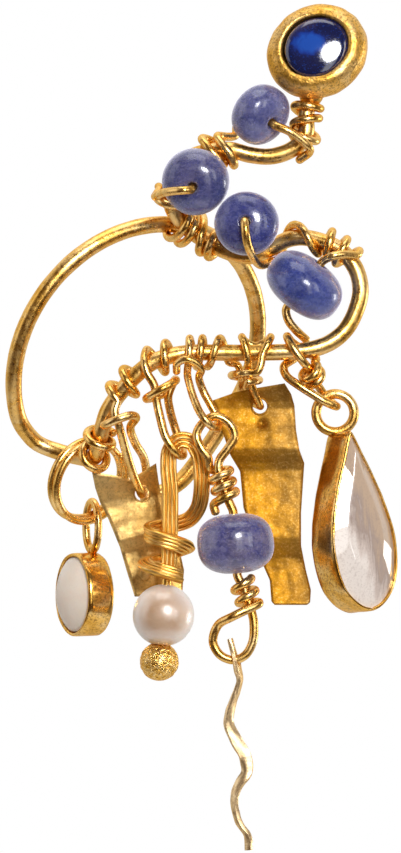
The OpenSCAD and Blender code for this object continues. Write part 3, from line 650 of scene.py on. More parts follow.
def top_stone():
    """A low dome that is almost flat in the middle and rounds down to its edge."""
    r, girdle = 1.9, 1.02
    edge_height, flat_ball_r = 0.18, 8.0
    steps = 29
    profile = [(0.02, 0.0), (0.83, 0.0), (r - 0.03, girdle - 0.4), (r, girdle - 0.3), (r, girdle - 0.02)]
    for k in range(1, steps):
        part = math.cos(math.radians(90 * k / steps))
        edge = edge_height * (1 - part ** 12)
        bow = (r * r - (r * part) ** 2) / (2 * flat_ball_r)
        profile.append((max(0.02, r * part), girdle + edge + bow))
    profile.append((0.02, profile[-1][1]))
    centre = Vector(CUP) + stone_sink * CUP_FRONT
    stone = lathe("top_stone", profile, centre, STONE_FRONT, 96, sharp=35, shape=cup_oval)
    dress(stone, DEEP_SAPPHIRE, "hoop_body", "deep_sapphire", "top_sapphire")


# Thin wires, in the same rows as the part's source

wind_step = 20
# How much further a winding round two wires stands out than one round a single wire, up and to the viewer
bound_up = 0.31
bound_out = 0.08


def station(at):
    i = max(0, min(len(GUIDE) - 2, math.floor(at)))
    return GUIDE[i] + (GUIDE[i + 1] - GUIDE[i]) * (at - i)


def heading(at):
    return unit(station(at + 1) - station(at - 1))


def nearest(p):
    return min(range(len(GUIDE)), key=lambda i: (GUIDE[i] - Vector(p)).length)


def turns(start, end):
    """Angles from start to end, each with the share of the way that it stands at."""
    count = math.ceil(abs(end - start) / wind_step)
    return [(start + (end - start) * i / count, i / count) for i in range(count + 1)]


def wound(place, start, end, pitch, lean, radius_up=wind_r, radius_out=wind_r):
    """Turns round the main wire: angles go from up, through the viewer's side, to down."""
    mid = nearest(place)
    made = []
    for degrees, _ in turns(start, end):
        a = math.radians(degrees)
        at = mid + (pitch * (degrees - (start + end) / 2) / 360 + lean * math.cos(a)) / guide_step
        t = heading(at)
        out = unit(drop_along(TO_VIEWER, t))
        made.append(station(at) + math.cos(a) * radius_up * out.cross(t) + math.sin(a) * radius_out * out)
    return made


def bound(place, angles, start, end, pitch):
    """Turns round the main wire and the hoop behind it together."""
    mid = nearest(place)
    made = []
    for degrees, part in turns(start, end):
        a = math.radians(degrees)
        at = mid + pitch * (degrees - (start + end) / 2) / 360 / guide_step
        h = angles[0] + (angles[1] - angles[0]) * part
        near = station(at)
        t = unit(heading(at) + unit(on_hoop(h + 1) - on_hoop(h - 1)))
        apart = drop_along(on_hoop(h) - near, t)
        out = -unit(apart)
        up = math.cos(a) * (wind_r + bound_up) * out.cross(t)
        made.append(near + apart / 2 + up + math.sin(a) * (apart.length / 2 + wind_r + bound_out) * out)
    return made


def ringed(place, direction, start, end, pitch, radius_across, radius_out):
    """Turns round a straight line."""
    t = unit(Vector(direction))
    out = unit(drop_along(TO_VIEWER, t))
    made = []
    for degrees, _ in turns(start, end):
        a = math.radians(degrees)
        p = Vector(place) + t * pitch * (degrees - (start + end) / 2) / 360
        made.append(p + math.cos(a) * radius_across * out.cross(t) + math.sin(a) * radius_out * out)
    return made


# Beads: place, direction of the hole, radius, half length along the hole
BEADS = [
    ((6.33, -2.4, 6.65), (0.61, -0.64, -0.46), 1.88, 1.25),
    ((2.4, -3.4, 2.55), (-0.16, -0.95, -0.28), 2.02, 1.5),
    ((5.5, -4.2, 0.0), (-0.08, -0.99, 0.08), 1.95, 1.5),
    ((9.0, -2.9, -3.7), (0.6, -0.15, 0.78), 2.46, 1.6)]
link_y = -4.4
LINK_BEAD = ((4.8, link_y, -19.35), (0.07, 0, -1), 2.33, 1.82)


def through(row, side, beyond):
    """Four places of the wire through a bead: beyond one end, inside both ends, beyond the other."""
    inside = 0.2
    centre, direction, half = Vector(row[0]), unit(Vector(row[1])), row[3]
    places = (half + beyond, half - inside, inside - half, -half - beyond)
    return [centre + side * at * direction for at in places]


BEAD_WIRE = [
    *wound((9.2, -1.66, 6.98), 1370, 890, 0.76, 0.1),
    *wound((9.1, -1.8, 5.4), 850, 170, 1.06, 0.1),
    (9.3, -2.5, 4.35), (9.25, -3.0, 4.65), (8.7, -3.3, 5.15), (8.05, -3.5, 5.6),
    *through(BEADS[0], 1, 0.3),
    (5.3, -0.6, 7.3), (5.1, -0.3, 6.7), (4.9, -0.4, 6.0), (4.8, -0.7, 5.4),
    *wound((3.9, -1.65, 4.5), -15, 590, -0.9, -0.8, 0.88, 0.84),
    (3.3, -0.6, 3.5), (3.1, -0.9, 3.25),
    *through(BEADS[1], -1, 0.3),
    (1.7, -5.4, 2.0), (1.0, -5.0, 1.95), (0.4, -4.2, 1.85), (-0.05, -3.0, 1.65),
    *wound((0.92, -0.93, 1.45), 30, -370, 0.6, 0.35),
    (0.7, 0.3, 1.35),
    *bound((1.83, -0.25, -0.17), (24.5, 13), -540, -1340, 0.62),
    *wound((3.4, -0.4, -1.2), -1380, -2000, 0.6, 0),
    (4.4, -1.6, -0.6), (5.1, -2.0, -0.3),
    *through(BEADS[2], -1, 0.2),
    (5.4, -6.15, -0.4), (5.5, -6.0, -1.1), (5.75, -5.5, -1.8), (6.05, -4.6, -2.3), (6.4, -3.4, -2.5),
    *wound((8.4, -1.4, -0.85), 20, -345, 3.5, 0),
    *wound((11.0, -1.9, -1.5), -385, -1310, 0.8, 0),
    (11.3, -3.3, -1.85), (10.7, -3.5, -1.95),
    *through(BEADS[3], 1, 0.25),
    (8.0, -2.6, -5.8), (8.45, -2.4, -6.4), (9.1, -2.0, -7.0)]
CRYSTAL_HOOK = [
    (8.4, -2.0, -8.15), (7.75, -2.7, -8.65), (7.9, -3.1, -9.2), (8.6, -3.3, -9.75), (9.45, -3.35, -10.3),
    (10.2, -3.35, -10.75), (10.75, -3.1, -11.0), (10.95, -2.6, -11.05), (10.7, -2.05, -10.85),
    (10.1, -2.0, -10.2), (9.65, -2.4, -9.5), (9.35, -2.9, -8.9), (8.95, -3.5, -8.4), (8.5, -3.65, -7.8),
    (8.05, -3.4, -7.1), (7.95, -2.75, -6.8), (8.3, -2.0, -7.2), (9.35, -1.85, -7.9), (9.7, -2.3, -8.15),
    *ringed((9.42, -2.72, -9.1), (0.4, 0.65, -0.65), -20, 540, 0.6, 0.57, 0.57)]
PLATE_HOOK = [
    *wound((3.8, -2.8, -7.8), 170, -130, -1.5, 0, 0.88, 0.8),
    (4.9, -1.9, -8.5), (5.2, -1.95, -9.2), (5.15, -1.0, -10.0), (5.65, -0.35, -10.68), (6.15, -0.7, -10.97),
    (6.32, -1.2, -11.04), (6.3, -1.75, -11.0), (6.1, -2.1, -10.5), (5.8, -2.4, -9.8), (5.6, -2.8, -9.2),
    (5.6, -3.45, -8.5), (5.5, -3.65, -7.8), (5.3, -3.5, -7.1), (5.2, -2.8, -6.85), (5.4, -2.05, -7.1),
    (6.0, -1.95, -7.4), (6.7, -2.0, -7.1), (6.95, -2.7, -6.85), (6.8, -3.5, -7.2), (6.45, -3.65, -7.9),
    (6.35, -3.8, -8.5), (6.1, -3.85, -9.0),
    *ringed((5.42, -2.35, -9.3), (0, 0, -1), 80, 440, 0.56, 0.85, 1.4)]
LINK_HOOK = [
    *wound((2.4, -2.9, -7.85), -60, 500, -0.75, 0, 0.88, 0.8),
    (1.9, -3.7, -9.1), (2.05, -4.1, -9.8), (2.3, -4.6, -10.6), (2.65, -5.0, -11.4), (3.05, -5.15, -11.95),
    (3.45, -4.85, -12.31), (3.75, -4.3, -12.3), (3.75, -3.75, -11.85), (3.3, -3.55, -10.95),
    (2.85, -3.45, -10.1), (2.6, -3.7, -9.3), (2.75, -4.1, -8.75), (1.9, -4.45, -8.2), (1.3, -4.2, -8.45),
    (1.25, -3.8, -8.95)]
PEARL_HOOK = [
    *wound((0.44, -3.0, -8.25), -60, 350, -1.09, 0, 0.85, 0.82),
    (-0.7, -3.8, -8.35), (-0.55, -3.95, -9.0), (-0.1, -3.95, -9.8), (0.05, -3.85, -10.8), (0.3, -3.9, -11.9),
    (0.55, -4.1, -12.8), (0.95, -4.15, -13.5), (1.35, -3.9, -13.98), (1.63, -3.4, -14.03),
    (1.6, -2.75, -13.7), (1.2, -2.6, -12.5), (0.85, -2.9, -11.3), (0.75, -3.1, -10.4),
    *ringed((0.35, -3.5, -10.1), (0.4, 0, -0.9), -20, 290, 0.62, 1.05, 1.1)]
SMALL_PLATE_HOOK = [
    *wound((-1.91, -2.95, -9.86), -60, 460, -1.22, 0, 0.81, 0.82),
    (-2.5, -3.8, -11.4), (-2.25, -3.75, -12.2), (-1.85, -2.9, -13.7), (-1.4, -2.1, -15.15),
    (-1.0, -1.3, -16.1), (-0.85, -0.5, -16.4), (-0.7, 0.3, -16.0), (-0.6, 0.4, -15.2), (-0.75, -0.4, -14.2),
    (-1.3, -1.7, -13.2), (-1.55, -2.7, -12.3), (-1.2, -3.4, -11.75), (-1.5, -4.1, -11.6),
    (-2.2, -4.4, -11.8), (-2.9, -4.1, -12.1), (-3.15, -3.6, -12.2)]
END_WRAP_FRONT = wound((-3.45, -2.15, -12.95), -150, 330, -0.72, 0, 0.82, 0.82)
END_WRAP_BACK = wound((-3.76, -1.05, -14.07), -60, 400, -0.88, 0, 0.82, 0.82)
THIN_WIRES = {
    "bead_wire": BEAD_WIRE,
    "crystal_hook": CRYSTAL_HOOK,
    "plate_hook": PLATE_HOOK,
    "link_hook": LINK_HOOK,
    "pearl_hook": PEARL_HOOK,
    "small_plate_hook": SMALL_PLATE_HOOK,
    "end_wrap_front": END_WRAP_FRONT,
    "end_wrap_back": END_WRAP_BACK}


# These two carry swinging drops, and stay thin to leave them room
SWING_HOOKS = ("plate_hook", "link_hook")


def thin_wires():
    for node, points in THIN_WIRES.items():
        radius = thin_r if node in SWING_HOOKS else thin_look_r
        strand = wire(node + "_wire", smooth(points, step=0.13), radius, sides=14)
        dress(strand, THIN_GOLD, "hoop_body", "gold", node)


# Beads

bead_hole_r = 0.33
#   dark colour, light colour, for the four beads and the link's bead
BEAD_COLOURS = [
    ((0.085, 0.105, 0.36), (0.24, 0.25, 0.53)),
    ((0.042, 0.060, 0.26), (0.15, 0.15, 0.37)),
    ((0.028, 0.046, 0.28), (0.10, 0.115, 0.38)),
    ((0.026, 0.056, 0.35), (0.085, 0.125, 0.44)),
    ((0.060, 0.070, 0.31), (0.26, 0.235, 0.42))]


def bead(node, row, colours, seed, body):
    """A full round bead with a drilled hole, whose mouths are rounded."""
    centre, direction, r, h = row
    # A power under 1 makes the outline fuller than an oval
    bulge = 2 / 2.5
    outside = []
    for a in range(-80, 81, 4):
        c, s = math.cos(math.radians(a)), math.sin(math.radians(a))
        outside.append((r * c ** bulge, h * math.copysign(abs(s) ** bulge, s)))
    hole = bead_hole_r
    lower = [(hole, -0.3 * h), (hole, -0.88 * h), (hole + 0.03, -0.95 * h), (hole + 0.1, -0.985 * h)]
    upper = [(x, -y) for x, y in reversed(lower)]
    name = node + "_stone"
    stone = lathe(name, lower + outside + upper, centre, direction, 80, uneven=0.05, grain=0.55, loop=True)
    dress(stone, milky_sapphire(name + "_stone", *colours, seed), body, "milky_sapphire", node)


def beads():
    """The seed moves each bead's clouds to another place."""
    for k, row in enumerate(BEADS):
        bead(f"bead_{k + 1}", row, BEAD_COLOURS[k], 3.7 * k, "hoop_body")
    bead("link_bead", LINK_BEAD, BEAD_COLOURS[-1], 17.3, "sapphire_drop")


# Plates

# Edges of the sheets in the front view, each from its first corner to its next: top, right, bottom, left
LARGE_EDGES = [
    [(3.4, -10.7), (4.8, -10.2), (6.0, -9.95), (7.8, -9.65)],
    [(7.8, -9.65), (8.2, -10.3), (8.4, -11.0), (8.5, -12.5), (8.7, -13.7), (9.0, -14.5), (8.9, -16.0),
     (8.8, -17.5), (8.8, -19.5), (9.1, -21.0), (9.4, -22.2), (9.35, -22.95), (9.15, -23.1)],
    [(7.2, -23.1), (9.15, -23.1)],
    [(3.4, -10.7), (3.9, -12.2), (4.5, -14.0), (5.1, -15.0), (5.3, -17.2), (6.0, -19.2), (6.5, -20.7),
     (6.9, -21.6), (7.0, -22.9), (7.2, -23.1)]]
LARGE_WAVES = [
    (-9.4, -0.55), (-11.2, 0.1), (-13.6, -0.42), (-14.9, 0.03), (-17.4, -0.3), (-19.4, -0.4), (-20.2, 0.15),
    (-21.8, 0.02), (-23.3, -0.45)]
SMALL_EDGES = [
    [(-3.9, -15.0), (-2.2, -15.3), (-1.6, -15.5), (0.0, -14.5)],
    [(0.0, -14.5), (0.15, -15.6), (0.5, -17.3), (1.3, -19.2), (1.7, -21.0), (1.6, -22.3)],
    [(-1.3, -22.6), (0.2, -22.6), (1.6, -22.3)],
    [(-3.9, -15.0), (-3.7, -16.0), (-3.4, -16.9), (-2.9, -17.9), (-2.2, -19.6), (-1.8, -21.0), (-1.3, -22.6)]]
SMALL_WAVES = [(-14.3, -0.5), (-16.7, 0.35), (-18.9, -0.1), (-19.7, 0.3), (-21.0, 0.1), (-22.8, -0.35)]
plate_t = 0.3
plate_hole_r = 0.45
#   share of the thickness at the rim, one step in, and from there on
RIM_SHARES = (0.45, 0.8, 1.0)
RIVET_PLACE = (-0.67, -0.5, -21.27)
burr_r = 0.055
burr_gap = 0.04
#   x, z of the holes
LARGE_HOLE = (6.3, -11.05)
SMALL_HOLE = (-0.85, -16.35)


def evenly(points, count):
    """count + 1 places evenly along a line of (x, z) corners."""
    line = [V(x, 0, z) for x, z in points]
    run = lengths(line)
    made = []
    for k in range(count + 1):
        at = run[-1] * k / count
        i = max(j for j in range(len(line) - 1) if run[j] <= at + 1e-9)
        made.append(line[i].lerp(line[i + 1], (at - run[i]) / (run[i + 1] - run[i])))
    return made


def sheet(name, edges, waves, y, hole, columns, rows, uneven, tilt, dent):
    """A beaten sheet over the patch between four edges, with a pierced hole and a small dent.
    The waves run across it, and tilt is how much they rise to the right. dent is x, z, radius, depth."""
    top, right, bottom, left = (evenly(edge, n) for edge, n in zip(edges, (columns, rows, columns, rows)))
    line = smooth([(z, d, 0) for z, d in waves], step=0.45)
    dent_x, dent_z, dent_r, dent_depth = dent

    def depth(x, z):
        z -= tilt * (x - hole[0])
        for a, b in zip(line, line[1:]):
            if b.x <= z <= a.x:
                return y + a.y + (b.y - a.y) * (a.x - z) / max(a.x - b.x, 1e-6)
        return y + (line[-1].y if z < line[-1].x else line[0].y)

    def beaten(i, j):
        u, v = j / columns, i / rows
        p = (1 - v) * top[j] + v * bottom[j] + (1 - u) * left[i] + u * right[i]
        corners = (1 - u) * (1 - v) * top[0] + u * (1 - v) * top[-1]
        p = p - (corners + (1 - u) * v * bottom[0] + u * v * bottom[-1])
        # Broad blows of the hammer and fine ones over them
        broad, fine = 0.9, 2.2
        beat = noise.noise(V(p.x * broad, 3, p.z * broad)) + 0.6 * noise.noise(V(p.x * fine, 7, p.z * fine))
        away = ((p.x - dent_x) ** 2 + (p.z - dent_z) ** 2) / dent_r ** 2
        p.y = depth(p.x, p.z) + uneven * beat + dent_depth * math.exp(-away)
        return p

    places = [(i, j) for i in range(rows + 1) for j in range(columns + 1)]
    grid = [beaten(i, j) for i, j in places]
    wide = columns + 1
    back = len(grid)
    points = []
    for side in (-1, 1):
        for p, (i, j) in zip(grid, places):
            share = RIM_SHARES[min(i, rows - i, j, columns - j, 2)]
            points.append(p + V(0, side * plate_t / 2 * share, 0))
    faces = []
    for i in range(rows):
        for j in range(columns):
            a = i * wide + j
            faces.append((a, a + wide, a + wide + 1, a + 1))
            faces.append((back + a, back + a + 1, back + a + wide + 1, back + a + wide))
    border = list(range(wide)) + [i * wide + columns for i in range(1, rows + 1)]
    border += [rows * wide + j for j in range(columns - 1, -1, -1)]
    border += [i * wide for i in range(rows - 1, 0, -1)]
    for a, b in zip(border, border[1:] + border[:1]):
        faces.append((a, b, back + b, back + a))
    made = mesh_object(name, points, faces)
    drill(made, (hole[0], depth(*hole), hole[1]), TO_VIEWER, plate_hole_r, half=2, sides=40)
    made.data.set_sharp_from_angle(angle=math.radians(40))
    return made, depth


def plate(node, material, hole, **form):
    """A sheet, and the rim that the punch left round its hole."""
    body = node + "_drop"
    flat, depth = sheet(node + "_sheet", hole=hole, **form)
    dress(flat, material, body, "hammered_gold", node)
    r = plate_hole_r + burr_gap
    route = []
    for a in angles_round(48, closed=True):
        x, z = hole[0] + r * math.cos(a), hole[1] + r * math.sin(a)
        route.append(V(x, depth(x, z) - plate_t / 2, z))
    burr = wire(node + "_burr", route, burr_r, sides=8, wobble=0.15)
    dress(burr, material, body, "hammered_gold", node)


def plates():
    plate(
        "large_plate", LARGE_GOLD, LARGE_HOLE, edges=LARGE_EDGES, waves=LARGE_WAVES, y=-1.2, columns=44,
        rows=120, uneven=0.05, tilt=0.0, dent=(6.42, -12.1, 0.24, 0.28))
    plate(
        "small_plate", SMALL_GOLD, SMALL_HOLE, edges=SMALL_EDGES, waves=SMALL_WAVES, y=-0.5, columns=40,
        rows=80, uneven=0.03, tilt=0.25, dent=(0.2, -19.9, 0.3, 0.08))
    head = [(0.02, 0.0), (0.36, 0.0), (0.375, 0.08), (0.36, 0.2), (0.3, 0.27), (0.15, 0.3), (0.02, 0.3)]
    rivet = lathe("small_plate_rivet", head, RIVET_PLACE, TO_VIEWER, 32, uneven=0.03, grain=3)
    dress(rivet, SMALL_GOLD, "small_plate_drop", "hammered_gold", "small_plate")


# The pearl drop

BAND = [
    (0.7, -3.4, -21.55), (0.8, -3.4, -20.0), (0.85, -3.4, -18.0), (0.85, -3.4, -16.0), (0.75, -3.4, -14.7),
    (0.85, -3.4, -13.7), (1.4, -3.4, -13.1), (2.1, -3.4, -13.2), (2.57, -3.38, -13.9), (2.75, -3.36, -14.9),
    (2.76, -3.31, -16.2), (2.55, -3.08, -17.2), (2.0, -2.75, -17.9),
    *ringed((0.65, -3.4, -19.75), (-0.05, 0, -1), 285, -320, -1.85, 1.25, 0.85)]
band_w = 1.0
band_t = 0.42
reeds = 4
PEARL_PLACE = (0.45, -3.4, -23.7)
BALL_PLACE = (0.2, -3.4, -26.5)
pearl_r = 1.875
pearl_hole_r = 0.33
ball_r = 1.175
pin_r = 0.3
pin_length = 5.5


def reed_section():
    """Half rounds side by side, on the front and the back, as shares of the width and the thickness."""
    flat, height, steps = 0.29, 0.21, 7
    front = []
    for k in range(reeds):
        for s in range(steps):
            part = s / steps
            x = -0.5 + (k + part) / reeds
            front.append((x, -flat - height * math.sin(math.pi * part) ** 0.7))
    return front + [(-x, -y) for x, y in front]


def pearl_drop():
    route = smooth(BAND, step=0.16)
    ts = tangents(route)
    section = reed_section()
    rings = []
    for p, t, u in zip(route, ts, carried_sides(ts, TO_VIEWER)):
        w = t.cross(u)
        rings.append([p + x * band_w * w + y * band_t * u for x, y in section])
    band = skin("reeded_band", rings, lengths(route), sharp=70)
    dress(band, REEDED_GOLD, "pearl_drop", "gold", "pearl_stem")
    axis = Vector(BALL_PLACE) - Vector(PEARL_PLACE)
    outside = ball_profile(pearl_r, math.asin(pearl_hole_r / pearl_r), 56)
    inside = [(pearl_hole_r, 1.2), (pearl_hole_r, -1.2)]
    pearl = lathe("pearl_bead", outside + inside, PEARL_PLACE, axis, 96, uneven=0.035, grain=0.5, loop=True)
    dress(pearl, PEARL, "pearl_drop", "pearl", "pearl")
    whole = ball_profile(ball_r, 0.02, 72)
    ball = lathe("grained_ball", whole, BALL_PLACE, axis, 120, uneven=0.035, grain=4.5)
    dress(ball, GRAINED_GOLD, "pearl_drop", "gold", "pearl_stem")
    pin_end = Vector(BALL_PLACE) - pin_length * unit(axis)
    pin = wire("pearl_pin", smooth([BALL_PLACE, PEARL_PLACE, pin_end], step=0.5), pin_r, sides=14)
    dress(pin, THIN_GOLD, "pearl_drop", "gold", "pearl_stem")


# The sapphire link and the ribbon

link_wind_r = 2 * link_r + wind_gap


def from_link(*rows):
    """Places whose middle number is measured from the link's own depth."""
    return [(x, link_y + off, z) for x, off, z in rows]


LINK_WIRE = [
    *from_link((3.6, 0.1, -17.45), (3.5, 0.05, -17.0)),
    *ringed(*from_link((4.08, -0.03, -15.8)), (0.27, 0, -1), 160, -790, 0.66, 0.61, 0.61),
    *from_link(
        (3.3, 0.2, -14.85), (3.15, -0.1, -14.15), (2.75, -0.15, -13.6), (2.45, 0, -12.8), (2.85, 0, -12.05),
        (3.6, 0, -11.66), (4.4, 0, -12.05), (4.75, 0, -12.9), (4.35, 0, -13.6), (3.85, 0, -14.3),
        (3.77, -0.03, -14.8), (3.87, -0.03, -15.3), (4.12, -0.03, -16.1), (4.45, 0, -16.9)),
    *through(LINK_BEAD, -1, 0.15),
    *from_link(
        (5.3, 0, -22.0), (5.6, 0, -22.9), (5.82, 0, -23.6), (5.92, 0, -24.2), (5.85, 0, -25.3),
        (5.4, 0, -26.1), (4.7, 0, -26.4), (3.9, 0, -26.1), (3.45, 0, -25.3), (3.75, -0.2, -24.3),
        (4.65, -0.85, -23.75)),
    *ringed(*from_link((5.45, 0, -22.4)), (-0.33, 0, 1), 150, 900, 0.78, link_wind_r, link_wind_r)]
#   x, z, width, turn of the flat side from facing the viewer
RIBBON = [
    (4.5, -25.1, 0.4, 78), (4.65, -25.7, 1.0, 78), (4.85, -26.4, 1.45, 78), (5.0, -27.0, 0.9, 78),
    (5.1, -27.6, 0.7, 50), (4.95, -28.2, 0.8, 15), (4.62, -29.1, 0.75, 0), (4.42, -30.2, 0.5, -50),
    (4.9, -31.3, 0.5, -60), (5.42, -32.3, 0.5, -40), (5.5, -33.1, 0.5, 0), (4.95, -34.0, 0.6, 20),
    (4.73, -34.9, 0.5, 45), (4.94, -36.1, 0.55, 45), (5.5, -37.0, 0.5, 20), (5.6, -37.9, 0.5, 0)]
ribbon_t = 0.26
ribbon_hole_r = 0.45
RIBBON_HOLE = (4.7, link_y, -26.4)
#   shares of half the width and of the thickness, round the section
RIBBON_SECTION = [
    (-1, 0), (-0.85, 0.5), (-0.4, 0.42), (0.1, 0.5), (0.6, 0.42), (0.9, 0.5),
    (1, 0), (0.9, -0.5), (0.6, -0.5), (0.1, -0.42), (-0.4, -0.5), (-0.85, -0.5)]


def sapphire_link():
    loops = wire("link_wire_loops", smooth(LINK_WIRE, step=0.13), link_r, sides=16)
    dress(loops, THIN_GOLD, "sapphire_drop", "gold", "link_wire")


def ribbon():
    """The twisted strip, with uneven edges and a slight bow across it."""
    step = 0.18
    edge_waver, bow_depth, bow_waver, bow_middle = 0.16, 0.09, 0.05, 0.05
    # The turn is smoothed together with the width, and is scaled to numbers of the same size
    turn_scale = 20
    places = smooth([(x, link_y, z) for x, z, _, _ in RIBBON], step)
    sizes = smooth([(w, turn / turn_scale, z) for _, z, w, turn in RIBBON], step)
    rings = []
    for k, (p, t) in enumerate(zip(places, tangents(places))):
        width, turn, _ = sizes[min(k, len(sizes) - 1)]
        a = math.radians(turn_scale * turn)
        side = unit(drop_along(V(math.cos(a), math.sin(a), 0), t))
        face = t.cross(side)
        ring = []
        for x, y in RIBBON_SECTION:
            edge = 1 + edge_waver * noise.noise(V(p.z * 1.3, 5 * math.copysign(1, x), 2)) * abs(x)
            bow = bow_depth * (1 - x * x) + bow_waver * noise.noise(V(x * 2, p.z * 2.2, 4))
            ring.append(p + x * edge * width / 2 * side + (y * ribbon_t + bow - bow_middle) * face)
        rings.append(ring)
    strip = skin("ribbon_strip", rings, lengths(places), sharp=50)
    drill(strip, RIBBON_HOLE, (1, 0, 0), ribbon_hole_r, half=3, sides=32)
    dress(strip, RIBBON_GOLD, "ribbon_drop", "gold", "ribbon")


# The crystal drop

crystal_turn = math.radians(33)
crystal_lean = math.radians(-7)
CRYSTAL_PLACE = V(11.8, -3.38, -17.95)
CRYSTAL_LEFT = [
    (0.0, 5.4), (-0.8, 3.8), (-1.65, 1.7), (-2.25, -0.5), (-2.35, -2.3), (-1.95, -4.1), (-1.0, -5.25),
    (0.0, -5.6)]
CRYSTAL_OUTLINE = CRYSTAL_LEFT + [(-x, y) for x, y in CRYSTAL_LEFT[-2:0:-1]]
#   inset from the outline, height
CRYSTAL_WALL = [
    (1.3, -1.22), (0.5, -1.25), (0.2, -1.22), (0.06, -1.12), (0.0, -0.9), (0.0, -0.3), (0.0, 0.4),
    (0.01, 0.95), (0.05, 1.13), (0.1, 1.22), (0.16, 1.245), (0.21, 1.22), (0.235, 1.12), (0.25, 0.9),
    (0.28, -0.5), (1.0, -0.62)]
#   share of the outline across and along, share added at its tip, height
CRYSTAL_LEVELS = [
    (0.6, 0.65, 0.0, -0.6), (0.9, 0.95, 0.0, 0.0), (0.95, 1.0, 0.0, 1.02), (0.52, 0.57, 0.18, 1.48)]
CRYSTAL_RING_PLACE = V(10.85, -2.6, -11.45)
crystal_ring_r = 1.15
crystal_ring_wire_r = 0.3
crystal_dent = 0.025


def closed_curve(points, step):
    n = len(points)
    made = []
    for i in range(n):
        a, b, c, d = (Vector((*points[k % n], 0)) for k in (i - 1, i, i + 1, i + 2))
        parts = max(1, round((c - b).length / step))
        for j in range(parts):
            t = j / parts
            made.append(0.5 * (2 * b + (c - a) * t + (2 * a - 5 * b + 4 * c - d) * t * t
                               + (3 * b - a - 3 * c + d) * t ** 3))
    return made


def in_crystal(x, y, h):
    """A point of the cup's own frame: x across its face, y up it, h out of it."""
    p = V(x, -h, y)
    cos, sin = math.cos(crystal_turn), math.sin(crystal_turn)
    p = V(p.x * cos - p.y * sin, p.x * sin + p.y * cos, p.z)
    cos, sin = math.cos(crystal_lean), math.sin(crystal_lean)
    p = V(p.x * cos + p.z * sin, p.y, -p.x * sin + p.z * cos)
    return CRYSTAL_PLACE + p


def crystal_cup():
    outline = closed_curve(CRYSTAL_OUTLINE, step=0.22)
    n = len(outline)
    ways = [unit(outline[(k + 1) % n] - outline[k - 1]) for k in range(n)]
    outwards = [V(t.y, -t.x, 0) for t in ways]
    rings = []
    for inset, h in CRYSTAL_WALL:
        ring = []
        for o, out in zip(outline, outwards):
            # Near the tip the wall is no thicker than the narrow outline has room for
            q = o - out * min(inset, 0.55 * abs(o.x) + 0.12)
            dent = crystal_dent * noise.noise(V(o.x * 1.2, o.y * 1.2, h))
            ring.append(in_crystal(q.x + dent * out.x, q.y + dent * out.y, h))
        rings.append(ring)
    cup = skin("crystal_cup", rings, lengths([V(a, b, 0) for a, b in CRYSTAL_WALL]), sharp=60)
    dress(cup, SETTING_GOLD, "crystal_drop", "gold", "crystal_setting")


def crystal_ring():
    seam = math.radians(-80)
    circle = []
    for a in angles_round(96, closed=True):
        way = V(math.cos(a + seam), 0, math.sin(a + seam))
        circle.append(CRYSTAL_RING_PLACE + crystal_ring_r * way)
    ring = wire("crystal_ring", circle, crystal_ring_wire_r, sides=18)
    dress(ring, MAIN_GOLD, "crystal_drop", "gold", "crystal_setting")


def crystal_stone():
    """The stone's facets run from level to level, and their edges are a little blunt."""
    facets = closed_curve(CRYSTAL_OUTLINE, step=1.6)
    tip_y = CRYSTAL_OUTLINE[0][1]
    rings = []
    for across, along, added, h in CRYSTAL_LEVELS:
        shares = [along + added * (max(0, p.y) / tip_y) ** 4 for p in facets]
        rings.append([in_crystal(p.x * across, p.y * share, h) for p, share in zip(facets, shares)])
    stone = skin("crystal_stone", rings, [level[-1] for level in CRYSTAL_LEVELS], sharp=3)
    bevel = stone.modifiers.new("edges", "BEVEL")
    bevel.width = 0.05 * MM
    bevel.segments = 2
    bevel.limit_method = "ANGLE"
    bevel.angle_limit = math.radians(6)
    dress(stone, CRYSTAL, "crystal_drop", "crystal", "crystal")


# The double ring and the white cabochon

OVAL_PLACE = V(-4.15, 0.94, -15.6)
OVAL_LONG = V(0.5, 0, 0.87)
OVAL_SHORT = V(0.657, 0.656, -0.377)
oval_r = 2.45
oval_pitch = 0.54
oval_wire_r = 0.25
CABOCHON_PLACE = V(-4.35, 1.9, -22.5)
CABOCHON_FRONT = V(-0.906, -0.423, 0)
cabochon_cup_r = 2.55
cabochon_cup_h = 0.85
cabochon_r = 2.26
cabochon_dome = 0.85
BAIL_PLACE = V(-3.9, 2.15, -18.35)
bail_turn = math.radians(115)
BAIL_ACROSS = V(math.cos(bail_turn), math.sin(bail_turn), 0)
bail_half_w = 0.9
bail_half_h = 1.5
bail_wire_r = 0.24


def double_ring():
    """Two turns side by side, which start and end near the upper end of the ring."""
    first, last, middle = 20, 725, 372
    across = OVAL_LONG.cross(OVAL_SHORT)
    route = []
    for degrees in range(first, last + 1, 5):
        a = math.radians(degrees)
        p = OVAL_PLACE + oval_r * (math.cos(a) * OVAL_LONG + math.sin(a) * OVAL_SHORT)
        route.append(p + oval_pitch * (degrees - middle) / 360 * across)
    dress(wire("double_ring", route, oval_wire_r, sides=16), THIN_GOLD, "hoop_body", "gold", "oval_ring")


